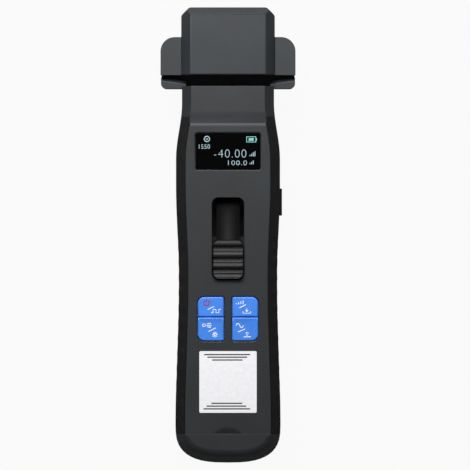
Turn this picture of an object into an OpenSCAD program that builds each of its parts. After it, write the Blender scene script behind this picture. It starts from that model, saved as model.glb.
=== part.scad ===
// Optical fibre identifier: a hand-held tester that clips onto a fibre and tells which way light runs.
// It lies on its back. X points right, Y to the sensing head and Z out of the front face. Millimetres.
// The origin is the middle of its footprint, on the rear face.

/* [Body] */
// Overall length, from the tail to the top of the hood
total_l = 223.2; // [218:0.1:232]
// Depth, from the rear face to the front face
body_d = 34; // [33:0.5:37]
// Width at the neck, below the fibre slot
neck_w = 45.1; // [44.6:0.1:47]
// Width at the shoulders, beside the display
shoulder_w = 51; // [50.4:0.1:54]
// Width at the waist, beside the slider
waist_w = 48.4; // [47.4:0.1:51]
// Width at the hips, beside the label
hip_w = 51.5; // [50:0.1:54]
// Depth of the front half, down to the joint between the two shells
front_d = 20; // [19.8:0.1:20.4]
// Wall of the shells
wall = 2; // [1.6:0.1:2.2]
// Width of the sloping bands along the front edges, seen from the front
band_w = 4.4; // [3.6:0.1:4.8]
// Drop of the sloping bands
band_d = 5.5; // [4.5:0.1:6]
// Radius of the rear edges
rear_r = 4; // [3:0.1:4.4]
// Thickness of the rubber side grips
grip_t = 1; // [0.7:0.1:1.2]

/* [Head] */
// Width of the fibre slot, from the neck to the hood
slot_gap = 5.4; // [5:0.1:7]
// Length of the hood
hood_l = 33.2; // [31:0.1:36]
// Width of the hood's middle block
hood_w = 45.9; // [45.2:0.1:48]
// Width across the wings
wing_span = 66.2; // [64:0.1:70]
// Length of the upper wings
wing_l = 18.7; // [17:0.1:21]
// Corner radius of the upper wings
wing_r = 7; // [4:0.1:8]
// How far the upper wings lie below the front face
wing_drop = 7; // [6:0.1:8]
// How far the lower wings lie below the front face
lip_drop = 10; // [9:0.1:11]

/* [Display] */
// Width of the window opening
window_w = 31.8; // [31.4:0.1:33]
// Height of the window opening
window_h = 18; // [17:0.1:18.6]
// Thickness of the window pane
pane_t = 1.2; // [0.8:0.1:1.6]

/* [Slider] */
// Width of the slider opening
slot_w = 15.7; // [15.2:0.1:16.4]
// Travel of the slider
travel = 20; // [20:0.1:20.4]
// Length of the thumb knob
knob_l = 18.9; // [18:0.1:20.6]
// How far the knob stands proud of the front face
knob_up = 3; // [2:0.1:4]
// Radius of the two push rods
rod_r = 1.5; // [1.2:0.1:1.6]

/* [Keys] */
// Width of one key
key_w = 12.7; // [12.4:0.1:13.1]
// Length of one key
key_l = 10.6; // [10:0.1:11.4]
// How much longer the lower keys are than that, and the upper ones shorter
key_step = 0.9; // [0:0.1:1]
// Distance between the two columns of keys, edge to edge
key_gap = 4.1; // [3.5:0.1:4.2]
// How far the keys stand proud of the front face
key_up = 1.2; // [1:0.1:2]
// Travel of a key
key_travel = 0.8; // [0.5:0.1:0.85]

/* [Tail] */
// Length of the hinged end cap
cap_l = 14.2; // [13.8:0.1:16]
// Wall of the end cap
cap_wall = 1.8; // [1.4:0.1:2]
// Radius of the bore in each test port, for a 2.5 mm ferrule
ferrule_r = 1.26; // [1.255:0.001:1.28]
// How far the test ports stand out under the end cap
port_out = 6.5; // [5:0.1:6.8]

/* [Side cover] */
// Length of the cover over the charging socket
flap_l = 13.3; // [12.6:0.1:14]
// Height of that cover
flap_h = 9; // [8:0.1:10]
// Thickness of that cover
flap_t = 1.6; // [1.4:0.1:1.8]

/* [Hidden] */
$fn = 48;

// Clearances
fit = 0.2;        // between parts that are assembled by hand
slide_fit = 0.3;  // between parts that slide past each other
run_fit = 0.05;   // radial, of a pin or rod in its bore
over = 1;         // overrun of every cut

// Places along the body
split_z = body_d - front_d;
tail_y = -total_l / 2;
head_y = total_l / 2;
hood_y = head_y - hood_l;
neck_y = hood_y - slot_gap;
seam_y = tail_y + cap_l;
neck_l = 8;
flare_l = 28;
shoulder_l = 12;
taper_l = 45;
waist_l = 4;
shoulder_y1 = neck_y - neck_l - flare_l;
shoulder_y0 = shoulder_y1 - shoulder_l;
waist_y1 = shoulder_y0 - taper_l;
waist_y0 = waist_y1 - waist_l;
tail_r = 18.3;
tail_c = tail_y + tail_r;
tail_power = 2.8;
station_step = 3.6;
fillet_steps = 4;
tail_steps = 24;

// What lies down the front face: window, slider, keys and label. Each gap before, between and after them
// has a least length and a share of the length that is left
slot_end = 0.6;
slot_l = travel + knob_l + 2 * slot_end;
key_split = 0.3;
key_field_l = 2 * key_l + key_split;
label_l = 30.2;
face_lengths = [window_h, slot_l, key_field_l, label_l];
gap_least = [8, 5, 5, 1.5, 3];
gap_shares = [0.398, 0.224, 0.093, 0.093, 0.192];
function total(v, n) = n == 0 ? 0 : v[n - 1] + total(v, n - 1);
spare_l = neck_y - seam_y - total(face_lengths, 4) - total(gap_least, 5);
face_gaps = [for (i = [0:4]) gap_least[i] + gap_shares[i] * spare_l];
function face_y(i) = neck_y - total(face_gaps, i + 1) - total(face_lengths, i) - face_lengths[i] / 2;
window_y = face_y(0);
slot_y = face_y(1);
key_y = face_y(2);
label_y = face_y(3);

// Shape of the sloping bands
band_z = body_d - band_d;
band_l = norm([band_w, band_d]);
band_turn = atan2(band_w, band_d);
grip_z0 = split_z / 2;
grip_gap = 15;
grip_y1 = neck_y - grip_gap;
grip_ramp = 4;

function clamp01(t) = min(1, max(0, t));
function ease(a, b, t) = a + (b - a) * (1 - cos(180 * clamp01(t))) / 2;
function body_w(y) =
    y > shoulder_y1 ? ease(shoulder_w, neck_w, (y - shoulder_y1) / flare_l) :
    y > waist_y1 ? ease(waist_w, shoulder_w, (y - waist_y1) / taper_l) :
    ease(hip_w, waist_w, (y - tail_c) / (waist_y0 - tail_c));
function tail_share(y) =
    y < tail_c ? pow(1 - pow((tail_c - y) / tail_r, tail_power), 1 / tail_power) : 1;
function half_w(y) = body_w(y) * tail_share(y) / 2;
function stations(a, b) = let (n = ceil((b - a) / station_step)) [for (i = [0:n]) a + (b - a) * i / n];
grip_ys = stations(seam_y, grip_y1);
skin_ys = concat(grip_ys, [for (y = stations(grip_y1, neck_y)) if (y > grip_y1) y]);

// Corner heights and places of a skin that lies in by s at the sides and by t at the front
function side_top(s) = band_z - s * tan(band_turn / 2);
function band_in(s, z) = (s + (z - band_z) * band_w / band_l) * band_l / band_d;
function side_in(y) = wall + grip_t * clamp01((grip_y1 + grip_ramp - y) / grip_ramp);

function front_ring(y, s, t, z0) =
    let (w = half_w(y), z = body_d - t, x = w - band_in(s, z))
    [[w - s, y, z0], [w - s, y, side_top(s)], [x, y, z], [-x, y, z], [s - w, y, side_top(s)], [s - w, y, z0]];
function rear_ring(y, s, t, z1) =
    let (w = half_w(y) - s, r = rear_r - t, a = 90 / fillet_steps)
    concat([for (i = [0:fillet_steps]) [w - r + r * sin(i * a), y, t + r - r * cos(i * a)]], [[w, y, z1]],
        [[-w, y, z1]], [for (i = [fillet_steps:-1:0]) [r - w - r * sin(i * a), y, t + r - r * cos(i * a)]]);
// A grip's section, and the wider one that cuts its seat
function grip_ring(y, out) =
    let (w = half_w(y), x = w - band_w)
    [[w + out, y, out > 0 ? body_d + out : band_z], [x, y, body_d + out],
        [x, y, band_z + (band_w * band_d - grip_t * band_l) / band_w],
        [w - grip_t, y, side_top(grip_t)], [w - grip_t, y, grip_z0], [w + out, y, grip_z0]];
// The tail's outline at height z, i inside the skin
function tail_ring(i, z) =
    [for (k = [0:tail_steps]) let (a = 180 * k / tail_steps, c = cos(a), e = 2 / tail_power)
        [(hip_w / 2 - i) * sign(c) * pow(abs(c), e), tail_c - (tail_r - i) * pow(abs(sin(a)), e), z]];

// A closed solid through a row of rings
module loft(rings) {
    n = len(rings[0]);
    m = len(rings);
    sides = [for (i = [0:m - 2], j = [0:n - 1])
        let (a = i * n + j, b = i * n + (j + 1) % n) each [[a, b, b + n], [a, b + n, a + n]]];
    ends = [[0, for (j = [n - 1:-1:1]) j], [for (j = [0:n - 1]) (m - 1) * n + j]];
    polyhedron(points = [for (ring = rings) each ring], faces = concat(sides, ends), convexity = 10);
}

// Boxes and round rods between stated limits
module box(x, y, z)
    translate([x[0], y[0], z[0]]) cube([x[1] - x[0], y[1] - y[0], z[1] - z[0]]);
module rod_z(x, y, r, z) translate([x, y, z[0]]) cylinder(r = r, h = z[1] - z[0]);
module rod_y(x, z, r, y) translate([x, y[1], z]) rotate([90, 0, 0]) cylinder(r = r, h = y[1] - y[0]);
module rod_x(y, z, r, x) translate([x[0], y, z]) rotate([0, 90, 0]) cylinder(r = r, h = x[1] - x[0]);
module both_sides() {
    children();
    mirror([1, 0, 0]) children();
}
function middle(c, l) = [c - l / 2, c + l / 2];
// A flat shape with corner radii: r0 at the low end and r1 at the high end
module round_plan(w, y, r0, r1) {
    translate([-w / 2, y[0] + r0]) square([w, y[1] - y[0] - r0 - r1]);
    translate([r1 - w / 2, y[1] - r1]) square([w - 2 * r1, r1]);
    translate([r0 - w / 2, y[0]]) square([w - 2 * r0, r0]);
    for (x = [-1, 1]) {
        translate([x * (w / 2 - r0), y[0] + r0]) circle(r0);
        translate([x * (w / 2 - r1), y[1] - r1]) circle(r1);
    }
}
module round_plate(w, y, r0, r1, z)
    translate([0, 0, z[0]]) linear_extrude(z[1] - z[0]) round_plan(w, y, r0, r1);

// Head
rear_step = 0.4;
wing_edge = 2.5;
wing_small = 0.2;
wing_y1 = hood_y + wing_l;
lip_low = 1.2;
lip_inner = 2.5;
lip_outer = 4.4;
lip_r = 2.5;
lip_round = 1.6;
lip_y0 = neck_y - lip_low;
wing_z = body_d - wing_drop;
lip_z = body_d - lip_drop;
rear_span = wing_span - 2 * rear_step;
hood_cut = 3.95;
hood_edge = 3.2;
hood_edge_d = 4;
mouth_w = neck_w - 2 * wall;

// Fixing screws
screw_r = 1.1;
screw_head_r = 2;
screw_head_t = 1.4;
screw_sink = 5;
boss_r = 2.6;
case_x = 17.5;
case_bite = 9;
hood_boss_places = [[(hood_w + wing_span) / 4, hood_y + wing_l / 2, wing_z],
    [mouth_w / 2 - boss_r - wall, head_y - 2 * hood_cut, body_d]];
hood_bite = 8;

// Display
window_r = 1.2;
panel_w = 33.6;
panel_h = 21;
panel_t = 1.5;
holder_rim = 0.8;
holder_t = 1.6;
front_in = body_d - wall;
panel_z = front_in - panel_t;
holder_z = panel_z - holder_t;
ribbon_w = 12;
ribbon_t = 0.3;
ribbon_slack = 5;

// Slider
slot_play = 0.35;
slot_r = 3.2;
knob_w = slot_w - 2 * slot_play;
knob_r = 2.6;
knob_y0 = slot_y - slot_l / 2 + slot_end;
leg_t = 1.5;
track_t = 1.8;
track_gap = 2.6;
track_z1 = front_in - track_gap;
track_z0 = track_z1 - track_t;
slit_w = leg_t + 2 * slide_fit;
slit_x = knob_w / 2 - leg_t - slide_fit;
crown_up = 0.5;
track_rim = 1.2;
rib_count = 3;
rib_pitch = 5.4;
rib_r = 1.1;
carriage_w = 27.8;
carriage_gap = 1;
carriage_z1 = track_z0 - carriage_gap;
carriage_t = 6.6;
carriage_z0 = carriage_z1 - carriage_t;
carriage_over = 1.5;
carriage_y = [knob_y0 - carriage_over, knob_y0 + knob_l + carriage_over];
leaf_w = 3;
leaf_l = 34;
carriage_screw_shares = [0.25, 0.75];
carriage_screw_ys = [for (q = carriage_screw_shares) knob_y0 + q * knob_l];
leaf_bump_r = (carriage_gap - run_fit) / 2;
carriage_screw_r = 0.5;
rib_shift = 0.6;
crown_r = (slit_x * slit_x + crown_up * crown_up) / (2 * crown_up);

// Press head, rods and anvil
rod_x_place = 12;
rod_up = 8;
rod_zc = split_z + rod_up;
rod_seat = 7;
pad_gap = 0.3;
bend_r = 181;
bend_steps = 1440;
anvil_w = 38;
anvil_t = 9.5;
anvil_back = 0.1;
anvil_y = hood_y + anvil_back;
anvil_room = (hood_w - anvil_w) / 2 - fit;
anvil_z1 = band_z + (anvil_room * band_d / band_l - wall) * band_l / band_w;
pad_t = 2;
pad_rim = 1.1;
press_w = 39.6;
press_t = 6;
press_low = 1.2;
press_z = [split_z + press_low, side_top(wall + grip_t) - slide_fit];
pad_edge = 0.8;
pad_z = [press_z[0] + pad_edge, press_z[1] - pad_edge];
press_y1 = anvil_y - pad_gap - travel - pad_t;
press_y0 = press_y1 - press_t;
hub_r = 2.8;
hub_l = 6.2;
bore_deep = 4;
cushion = 2.5;
rod_tip = press_y0 + bore_deep - cushion - slide_fit;
spring_l = 5.6;
spring_r = 2.4;
spring_wire = 0.5;
collar_r = 2.2;
collar_l = 1.4;
spring_y1 = press_y0 - hub_l - fit;
spring_y0 = spring_y1 - spring_l;
collar_y = [spring_y0 - fit - collar_l, spring_y0 - fit];

// Photodiodes and their board
diode_x = 9;
diode_r = 2.35;
diode_sink = 3;
diode_hole_r = 0.8;
diode_rim = 0.35;
diode_rim_t = 0.4;
diode_y = [anvil_y + anvil_t - diode_sink, anvil_y + anvil_t + diode_sink - diode_rim_t];
sensor_t = 1.2;
sensor_y = [diode_y[1], diode_y[1] + sensor_t];
sensor_flex_w = 5;
sensor_flex_z = split_z / 2;
flex_lap = 2;
flex_up = 4;

// Main board
board_z = split_z + 1;
board_t = 1.6;
board_top = board_z + board_t;
board_w = 28.8;
board_up = 45.6;
board_down = 39;
board_y = [tail_y + board_up, neck_y - board_down];
board_screw_r = 0.9;
board_head_r = 1.8;
board_head_t = 1;
board_boss_r = 2.2;
guide_l = 4;
guide_y = [board_y[1] - guide_l, board_y[1]];
guide_wall = 1.8;
guide_base = 2;
board_edge = 4;
guide_screw_x = 5;
board_screw_x = 10.5;
board_bore_z = 2 * wall;
board_places = [[guide_screw_x, guide_y[0] + guide_l / 2, guide_base],
    [board_screw_x, board_y[0] + board_edge, 0]];

// Places across and along the board as shares of it, then sizes
chip_shares = [[0.02, 0.60], [0.24, 0.78], [0.28, 0.44], [0, 0.3], [0.22, 0.16]];
chip_sizes = [[10, 10, 1.2], [6, 5, 1.4], [5, 4, 1.4], [7, 5, 1.2], [6, 6, 2.2]];
buzzer_r = 4.5;
buzzer_t = 2.8;

// Keys
key_rim = 0.35;
key_corner = 3.2;
key_small = 1;
key_flange = 0.7;
key_flange_t = 1.2;
key_seat = 0.1;
key_x = (key_gap + key_w) / 2;
key_top = body_d + key_up;
key_low = front_in - key_seat - key_flange_t;
mat_top = key_low - key_travel - key_seat;
mat_t = 0.7;
mat_rim = 1;
dome_t = 0.5;
dome_r = 3;
key_board_t = 1.2;
key_board_top = mat_top - mat_t - dome_t - key_seat;
key_board_w = 39;
key_board_rim = 2;
key_board_l = key_field_l + 2 * key_board_rim;
key_post_r = 1.7;
key_post_x = key_board_w / 2 - key_board_rim;
key_post_share = 0.38;
split_y = key_y + key_step;
key_rows = [[key_y - key_field_l / 2, split_y - key_split / 2],
    [split_y + key_split / 2, key_y + key_field_l / 2]];
mat_w = 2 * (key_x + key_w / 2) + 2 * key_flange;
mat_l = key_field_l + 2 * key_flange;
header_w = 5;
header_l = 20;
header_in = 1;

// Places of the case screws, clear of the display and the key board
case_gap = 0.9;
case_up = 13.4;
case_ys = [window_y - panel_h / 2 - holder_rim - boss_r - case_gap,
    key_y + key_board_l / 2 + boss_r + case_gap, seam_y + case_up];

// Charging socket and its cover
flap_down = 56.85;
flap_y = neck_y - flap_down;
flap_out = 1.1;
flap_pin_r = 0.4;
socket_w = 8.94;
socket_h = 3.2;
socket_l = 7.3;
socket_wall = 0.3;
socket_back = 1;
flap_side = half_w(flap_y);
flap_x1 = flap_side + flap_out;
flap_x0 = flap_x1 - flap_t;
flap_pin_x = (flap_x0 + flap_x1) / 2;
flap_up = 1.3;
flap_pin_z = split_z + flap_up;
flap_lug_l = 2.2;
lug_r = 0.85;
flap_top = flap_pin_z + flap_h;
socket_x1 = half_w(flap_y - flap_l / 2) - grip_t - fit;
socket_z = board_top + socket_h / 2;
tab_l = 11;

// Battery
battery_w = 28;
battery_l = 50;
battery_t = split_z - 2 * wall;
battery_r = 2;
battery_y0 = board_places[1][1] + board_boss_r + wall;
battery_y = [battery_y0, battery_y0 + battery_l];

// Tail
hinge_r = 2.4;
hinge_z = 2.6;
pin_r = 0.8;
swing_r = hinge_z * sqrt(2) + run_fit;
lip_swing_r = swing_r - fit;
knuckle_w = 12;
knuckle_end = 6;
plate_t = 2.4;
plate_z = [wall + rear_r, side_top(wall + grip_t) - fit];
port_x = 9;
port_down = 17;
port_z = body_d - port_down;
port_r = 4.2;
port_flange_r = 5.2;
port_flange_t = 1;
port_tail = 5;
ferrule_l = 10;
led_r = 2.5;
led_down = 8.6;
led_z = body_d - led_down;
led_out = 1.6;
led_rim = 0.4;
module_r = 4.5;
module_l = 22;
detector_r = 4;
detector_l = 10;
lead_r = 0.6;
lead_run = 6;
lead_drop = 4;
part_y0 = seam_y + plate_t + port_tail;
led_lead_y = board_y[0] - lead_drop;
scoop_w = 16.2;
scoop_l = 3.7;
scoop_d = 1.2;
scoop_r = (scoop_w * scoop_w / 4 + scoop_l * scoop_l) / (2 * scoop_l);
scoop_up = (scoop_l * (2 * scoop_r - scoop_l) - scoop_d * scoop_d) / (2 * scoop_d);

// Label
label_w = 28.1;
label_t = 0.15;
label_r = 0.7;

// Front face dip below the fibre slot
dip_shares = [0.863, 0.775, 0.551];
dip_y = [for (q = dip_shares) neck_y - q * face_gaps[0]];
dip_d = 0.35;

dark = [0.30, 0.31, 0.32];
black = [0.10, 0.10, 0.11];
blue = [0.25, 0.50, 0.90];
green = [0.10, 0.35, 0.20];
metal = [0.75, 0.75, 0.77];
brass = [0.80, 0.65, 0.30];

// Body shells

module front_solid() loft([for (y = skin_ys) front_ring(y, 0, 0, split_z)]);
module front_cavity()
    loft([for (y = concat([seam_y - over], skin_ys, [neck_y + over]))
        front_ring(y, side_in(y), wall, split_z - over)]);
module rear_solid() loft([for (y = concat(skin_ys, [head_y])) rear_ring(y, 0, 0, split_z)]);
module rear_cavity(ys, z1) loft([for (y = ys) rear_ring(y, side_in(y), wall, z1)]);
module grip(out) loft([for (y = concat(out > 0 ? [seam_y - out] : [], grip_ys)) grip_ring(y, out)]);

module head_corners(w, y, cut, z)
    both_sides() translate([w / 2, y, z[0]]) rotate([0, 0, 45])
        translate([-cut / sqrt(2), -cut, 0]) cube([2 * cut, 2 * cut, z[1] - z[0]]);

module lower_wing() {
    x0 = mouth_w / 2;
    x1 = wing_span / 2 - rear_step / 2;
    c = lip_round * sqrt(2);
    difference() {
        translate([0, 0, split_z]) linear_extrude(lip_z - split_z) difference() {
            polygon([[x0, lip_y0], [x1, lip_y0], [x1, neck_y + lip_outer], [x0, neck_y + lip_inner]]);
            translate([x1 - lip_r, lip_y0]) difference() {
                translate([0, -over]) square([lip_r + over, lip_r + over]);
                translate([0, lip_r]) circle(lip_r);
            }
        }
        translate([x1, neck_y + lip_outer, lip_z])
            rotate([0, 0, atan2(lip_outer - lip_inner, x1 - x0)])
                rotate([45, 0, 0]) cube([2 * wing_span, c, c], center = true);
    }
}

module case_bosses(z, r) for (y = case_ys) both_sides() rod_z(case_x, y, r, z);

module key_hole(x)
    translate([x, 0, front_in - over])
        linear_extrude(wall + 2 * over)
            translate([0, key_y]) key_column(key_rim, x > 0);
// The outline of a column of two keys: the outer corners are rounder than the inner ones
module key_column(grow, right) {
    l = key_field_l / 2 + grow;
    w = key_w / 2 + grow;
    s = right ? 1 : -1;
    big = key_corner + grow;
    small = key_small + grow;
    mirror([right ? 0 : 1, 0]) {
        translate([-w + small, -l]) square([2 * w - small - big, 2 * l]);
        translate([-w, -l + small]) square([small, 2 * l - 2 * small]);
        translate([w - big, -l + big]) square([big, 2 * l - 2 * big]);
        for (y = [-1, 1]) {
            translate([-w + small, y * (l - small)]) circle(small);
            translate([w - big, y * (l - big)]) circle(big);
        }
    }
}

module front_shell() color(dark) {
    difference() {
        union() {
            difference() {
                front_solid();
                front_cavity();
            }
            both_sides() lower_wing();
            intersection() {
                front_solid();
                union() {
                    case_bosses([split_z, body_d], boss_r);
                    for (y = [-1, 1]) both_sides()
                        rod_z(key_post_x, key_y + y * key_board_l * key_post_share, key_post_r,
                            [key_board_top, body_d - wall / 2]);
                }
            }
        }
        both_sides() grip(over);
        case_bosses([split_z - over, split_z + case_bite], screw_r);
        for (y = [-1, 1]) both_sides()
            rod_z(key_post_x, key_y + y * key_board_l * key_post_share, board_screw_r,
                [key_board_top - over, front_in - fit]);
        round_plate(window_w, middle(window_y, window_h), window_r, window_r,
            [front_in - over, body_d + over]);
        round_plate(slot_w, middle(slot_y, slot_l), slot_r, slot_r, [front_in - over, body_d + over]);
        box(middle(0, panel_w + 2 * fit), middle(window_y, panel_h + 2 * (holder_rim + fit)),
            [holder_z - fit, front_in]);
        key_hole(key_x);
        key_hole(-key_x);
        socket_hole();
        scoop_cut();
        dip_cut();
    }
    flap_lugs();
}
module scoop_cut()
    translate([0, seam_y + scoop_l - scoop_r, body_d + scoop_up]) sphere(norm([scoop_r, scoop_up]));
module dip_cut()
    rotate([90, 0, 90]) translate([0, 0, -shoulder_w])
        linear_extrude(2 * shoulder_w) polygon([[dip_y[0], body_d], [dip_y[1], body_d - dip_d],
            [dip_y[2], body_d], [dip_y[2], body_d + over], [dip_y[0], body_d + over]]);
module socket_hole()
    box([socket_x1 - wall - grip_t - over, flap_x0], middle(flap_y, socket_w + 2 * fit),
        middle(socket_z, socket_h + 2 * fit));
// Two ears that hold the pin of the side cover
module flap_lugs() {
    for (s = [-1, 1]) difference() {
        y = middle(flap_y + s * (flap_l - flap_lug_l) / 2, flap_lug_l - 2 * fit);
        union() {
            rod_y(flap_pin_x, flap_pin_z, lug_r, y);
            box([flap_side - grip_t - wall / 2, flap_pin_x], y, middle(flap_pin_z, 2 * lug_r));
        }
        rod_y(flap_pin_x, flap_pin_z, flap_pin_r, [y[0] - over, y[1] + over]);
    }
}

module rear_wings(i)
    intersection() {
        round_plate(rear_span - 2 * i, [lip_y0 + i, wing_y1 - i], lip_r, wing_r - i, [i, split_z + i * over]);
        translate([0, wing_y1, 0]) rotate([90, 0, 0]) linear_extrude(2 * wing_l) rear_section(i);
    }
module rear_section(i)
    let (w = rear_span / 2 - i, c = wing_edge)
    polygon([[-w, split_z + over], [-w, i + c], [c - w, i], [w - c, i], [w, i + c], [w, split_z + over]]);

module rear_shell() color(dark) {
    deck_y = hood_y + wall;
    difference() {
        union() {
            difference() {
                union() {
                    difference() {
                        rear_solid();
                        head_corners(neck_w, head_y, hood_cut, [-over, split_z + over]);
                    }
                    rear_wings(0);
                }
                rear_cavity(concat([seam_y - over], [for (y = skin_ys) if (y < neck_y) y],
                    [neck_y - wall / 2]), split_z + over);
                difference() {
                    rear_cavity([neck_y - 2 * wall, head_y - wall], split_z - wall);
                    head_corners(neck_w - 2 * wall, head_y - wall, hood_cut, [-over, split_z + over]);
                }
                difference() {
                    union() {
                        box([-mouth_w / 2, mouth_w / 2], [deck_y, head_y - wall],
                            [wall + rear_r, split_z + over]);
                        intersection() {
                            rear_wings(wall);
                            box([-wing_span, wing_span], [lip_y0, wing_y1], [wall, split_z - wall]);
                        }
                        intersection() {
                            rear_wings(wall);
                            box([-wing_span, wing_span], [deck_y, wing_y1], [wall, split_z + over]);
                        }
                    }
                    head_corners(neck_w - 2 * wall, head_y - wall, hood_cut, [-over, split_z + 2 * over]);
                }
            }
            intersection() {
                rear_solid();
                union() {
                    case_bosses([0, split_z], boss_r);
                    for (p = board_places) both_sides() rod_z(p[0], p[1], board_boss_r, [wall / 2, board_z]);
                }
            }
            for (p = hood_boss_places) both_sides() rod_z(p[0], p[1], boss_r, [wall / 2, split_z]);
            for (p = board_places) both_sides() rod_z(p[0], p[1], board_boss_r, [wall / 2, board_z]);
            body_knuckles();
        }
        both_sides() grip(over);
        case_bosses([-over, screw_sink], screw_head_r + fit);
        case_bosses([-over, split_z + over], screw_r + fit);
        for (p = hood_boss_places) both_sides() {
            rod_z(p[0], p[1], screw_head_r + fit, [-over, screw_sink]);
            rod_z(p[0], p[1], screw_r + fit, [-over, split_z + over]);
        }
        for (p = board_places) both_sides()
            rod_z(p[0], p[1], board_screw_r, [board_bore_z, board_z + over]);
        cap_knuckle_room();
        rod_x(seam_y, hinge_z, pin_r, middle(0, knuckle_w + 2 * knuckle_end + 2 * over));
    }
}
// Hinge of the end cap: two fixed knuckles, and the lip that fills the step below the pin
module body_knuckles() {
    both_sides() rod_x(seam_y, hinge_z, hinge_r, [knuckle_w / 2 + fit, knuckle_w / 2 + knuckle_end]);
    both_sides() intersection() {
        rod_x(seam_y, hinge_z, lip_swing_r, [knuckle_w / 2 + fit, hip_w / 2 - rear_r - fit]);
        box([0, hip_w / 2], [seam_y - swing_r, seam_y + swing_r], [0, wall]);
    }
}
module cap_knuckle_room()
    rod_x(seam_y, hinge_z, swing_r + fit, middle(0, knuckle_w + 2 * fit));

// Hood over the sensing head

module hood_block(i) {
    w = hood_w / 2 - i;
    y0 = hood_y + i;
    y1 = head_y - i;
    z0 = split_z - i;
    z1 = body_d - i;
    x1 = hood_w / 2 - band_in(i, z1);
    intersection() {
        translate([0, 0, z0]) linear_extrude(z1 - z0)
            polygon([[-w, y0], [w, y0], [w, y1 - hood_cut], [w - hood_cut, y1], [hood_cut - w, y1],
                [-w, y1 - hood_cut]]);
        translate([0, y1, 0]) rotate([90, 0, 0]) linear_extrude(y1 - y0)
            polygon([[-w, z0], [w, z0], [w, side_top(i)], [x1, z1], [-x1, z1], [-w, side_top(i)]]);
        translate([-w, 0, 0]) rotate([90, 0, 90]) linear_extrude(2 * w)
            polygon([[y0, z0], [y1, z0], [y1, z1 - hood_edge_d], [y1 - hood_edge, z1], [y0, z1]]);
    }
}
module hood() color(dark) difference() {
    union() {
        difference() {
            union() {
                hood_block(0);
                round_plate(wing_span, [hood_y, wing_y1], wing_small, wing_r, [split_z, wing_z]);
            }
            hood_block(wall);
            round_plate(wing_span - 2 * wall, [hood_y + wall, wing_y1 - wall], wing_small, wing_r - wall,
                [split_z - over, wing_z - wall]);
        }
        intersection() {
            union() {
                hood_block(0);
                round_plate(wing_span, [hood_y, wing_y1], wing_small, wing_r, [split_z, wing_z]);
            }
            for (p = hood_boss_places) both_sides() rod_z(p[0], p[1], boss_r, [split_z, p[2] - wall / 2]);
        }
    }
    for (p = hood_boss_places) both_sides() rod_z(p[0], p[1], screw_r, [split_z - over, split_z + hood_bite]);
    box(middle(0, anvil_w + 2 * fit), [hood_y - over, hood_y + wall + over],
        [split_z - over, anvil_z1 + fit]);
}

// Rubber side grips

module grip_right() color(black) difference() {
    grip(0);
    box([flap_side - 2 * grip_t, flap_side + over], middle(flap_y, flap_l + 2 * slide_fit),
        [flap_pin_z - lug_r - slide_fit, flap_top + slide_fit]);
}
module grip_left() color(black) mirror([1, 0, 0]) grip(0);

// End cap and its hinge pin

module tail_solid(i)
    let (a = 90 / fillet_steps, r = rear_r - i / 2)
    loft(concat(
        [for (k = [0:fillet_steps]) tail_ring(i + r - r * sin(k * a), i + r - r * cos(k * a))],
        [tail_ring(i, side_top(i)), tail_ring(band_in(i, body_d - i), body_d - i)]));
module end_cap() color(dark) {
    y1 = seam_y - slide_fit / 2;
    difference() {
        intersection() {
            tail_solid(0);
            box([-hip_w, hip_w], [tail_y - over, y1], [-over, body_d + over]);
        }
        tail_solid(cap_wall);
        rod_x(seam_y, hinge_z, swing_r, middle(0, 2 * hip_w));
    }
    difference() {
        union() {
            rod_x(seam_y, hinge_z, hinge_r, middle(0, knuckle_w));
            intersection() {
                box(middle(0, knuckle_w), [seam_y - swing_r - cap_wall / 2, seam_y],
                    [hinge_z - hinge_r, hinge_z]);
                tail_solid(0);
            }
        }
        rod_x(seam_y, hinge_z, pin_r + run_fit, middle(0, 2 * knuckle_w));
    }
}
module end_cap_pin() color(metal) rod_x(seam_y, hinge_z, pin_r, middle(0, knuckle_w + 2 * knuckle_end));

// Cover over the charging socket

module port_cover() color(black) difference() {
    union() {
        box([flap_x0, flap_x1], middle(flap_y, flap_l), [flap_pin_z, flap_top]);
        rod_y(flap_pin_x, flap_pin_z, flap_t / 2, middle(flap_y, flap_l));
    }
    for (s = [-1, 1])
        box([flap_x0 - over, flap_x1 + over],
            middle(flap_y + s * (flap_l - flap_lug_l + over) / 2, flap_lug_l + over),
            [flap_pin_z - 2 * lug_r, flap_pin_z + lug_r + slide_fit]);
    rod_y(flap_pin_x, flap_pin_z, flap_pin_r + run_fit, middle(flap_y, 2 * flap_l));
}
module port_cover_pin() color(metal)
    rod_y(flap_pin_x, flap_pin_z, flap_pin_r, middle(flap_y, flap_l - 2 * fit));

// Display

module display_window() color([0.05, 0.05, 0.06])
    round_plate(window_w - 2 * fit, middle(window_y, window_h - 2 * fit), window_r, window_r,
        [front_in, front_in + pane_t]);
module display_panel() color([0.02, 0.03, 0.04])
    box(middle(0, panel_w), middle(window_y, panel_h), [panel_z, front_in]);
module display_holder() color(black) difference() {
    box(middle(0, panel_w), middle(window_y, panel_h + 2 * holder_rim), [holder_z, front_in]);
    box(middle(0, panel_w + 2 * over), middle(window_y, panel_h), [panel_z, front_in + over]);
    box(middle(0, ribbon_w + 2 * fit), [window_y - panel_h, window_y - panel_h / 2 + 2 * over],
        [holder_z - over, panel_z + over / 2]);
}
module display_flex() color([0.75, 0.45, 0.10]) {
    y1 = window_y - panel_h / 2 + holder_rim;
    y0 = guide_y[0] - ribbon_slack;
    box(middle(0, ribbon_w), [y0, y1], [holder_z, holder_z + ribbon_t]);
    box(middle(0, ribbon_w), [y0, y0 + ribbon_t], [board_top, holder_z + ribbon_t]);
    box(middle(0, ribbon_w), [y1 - ribbon_t, y1], [holder_z, panel_z]);
}

// Slider

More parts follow.
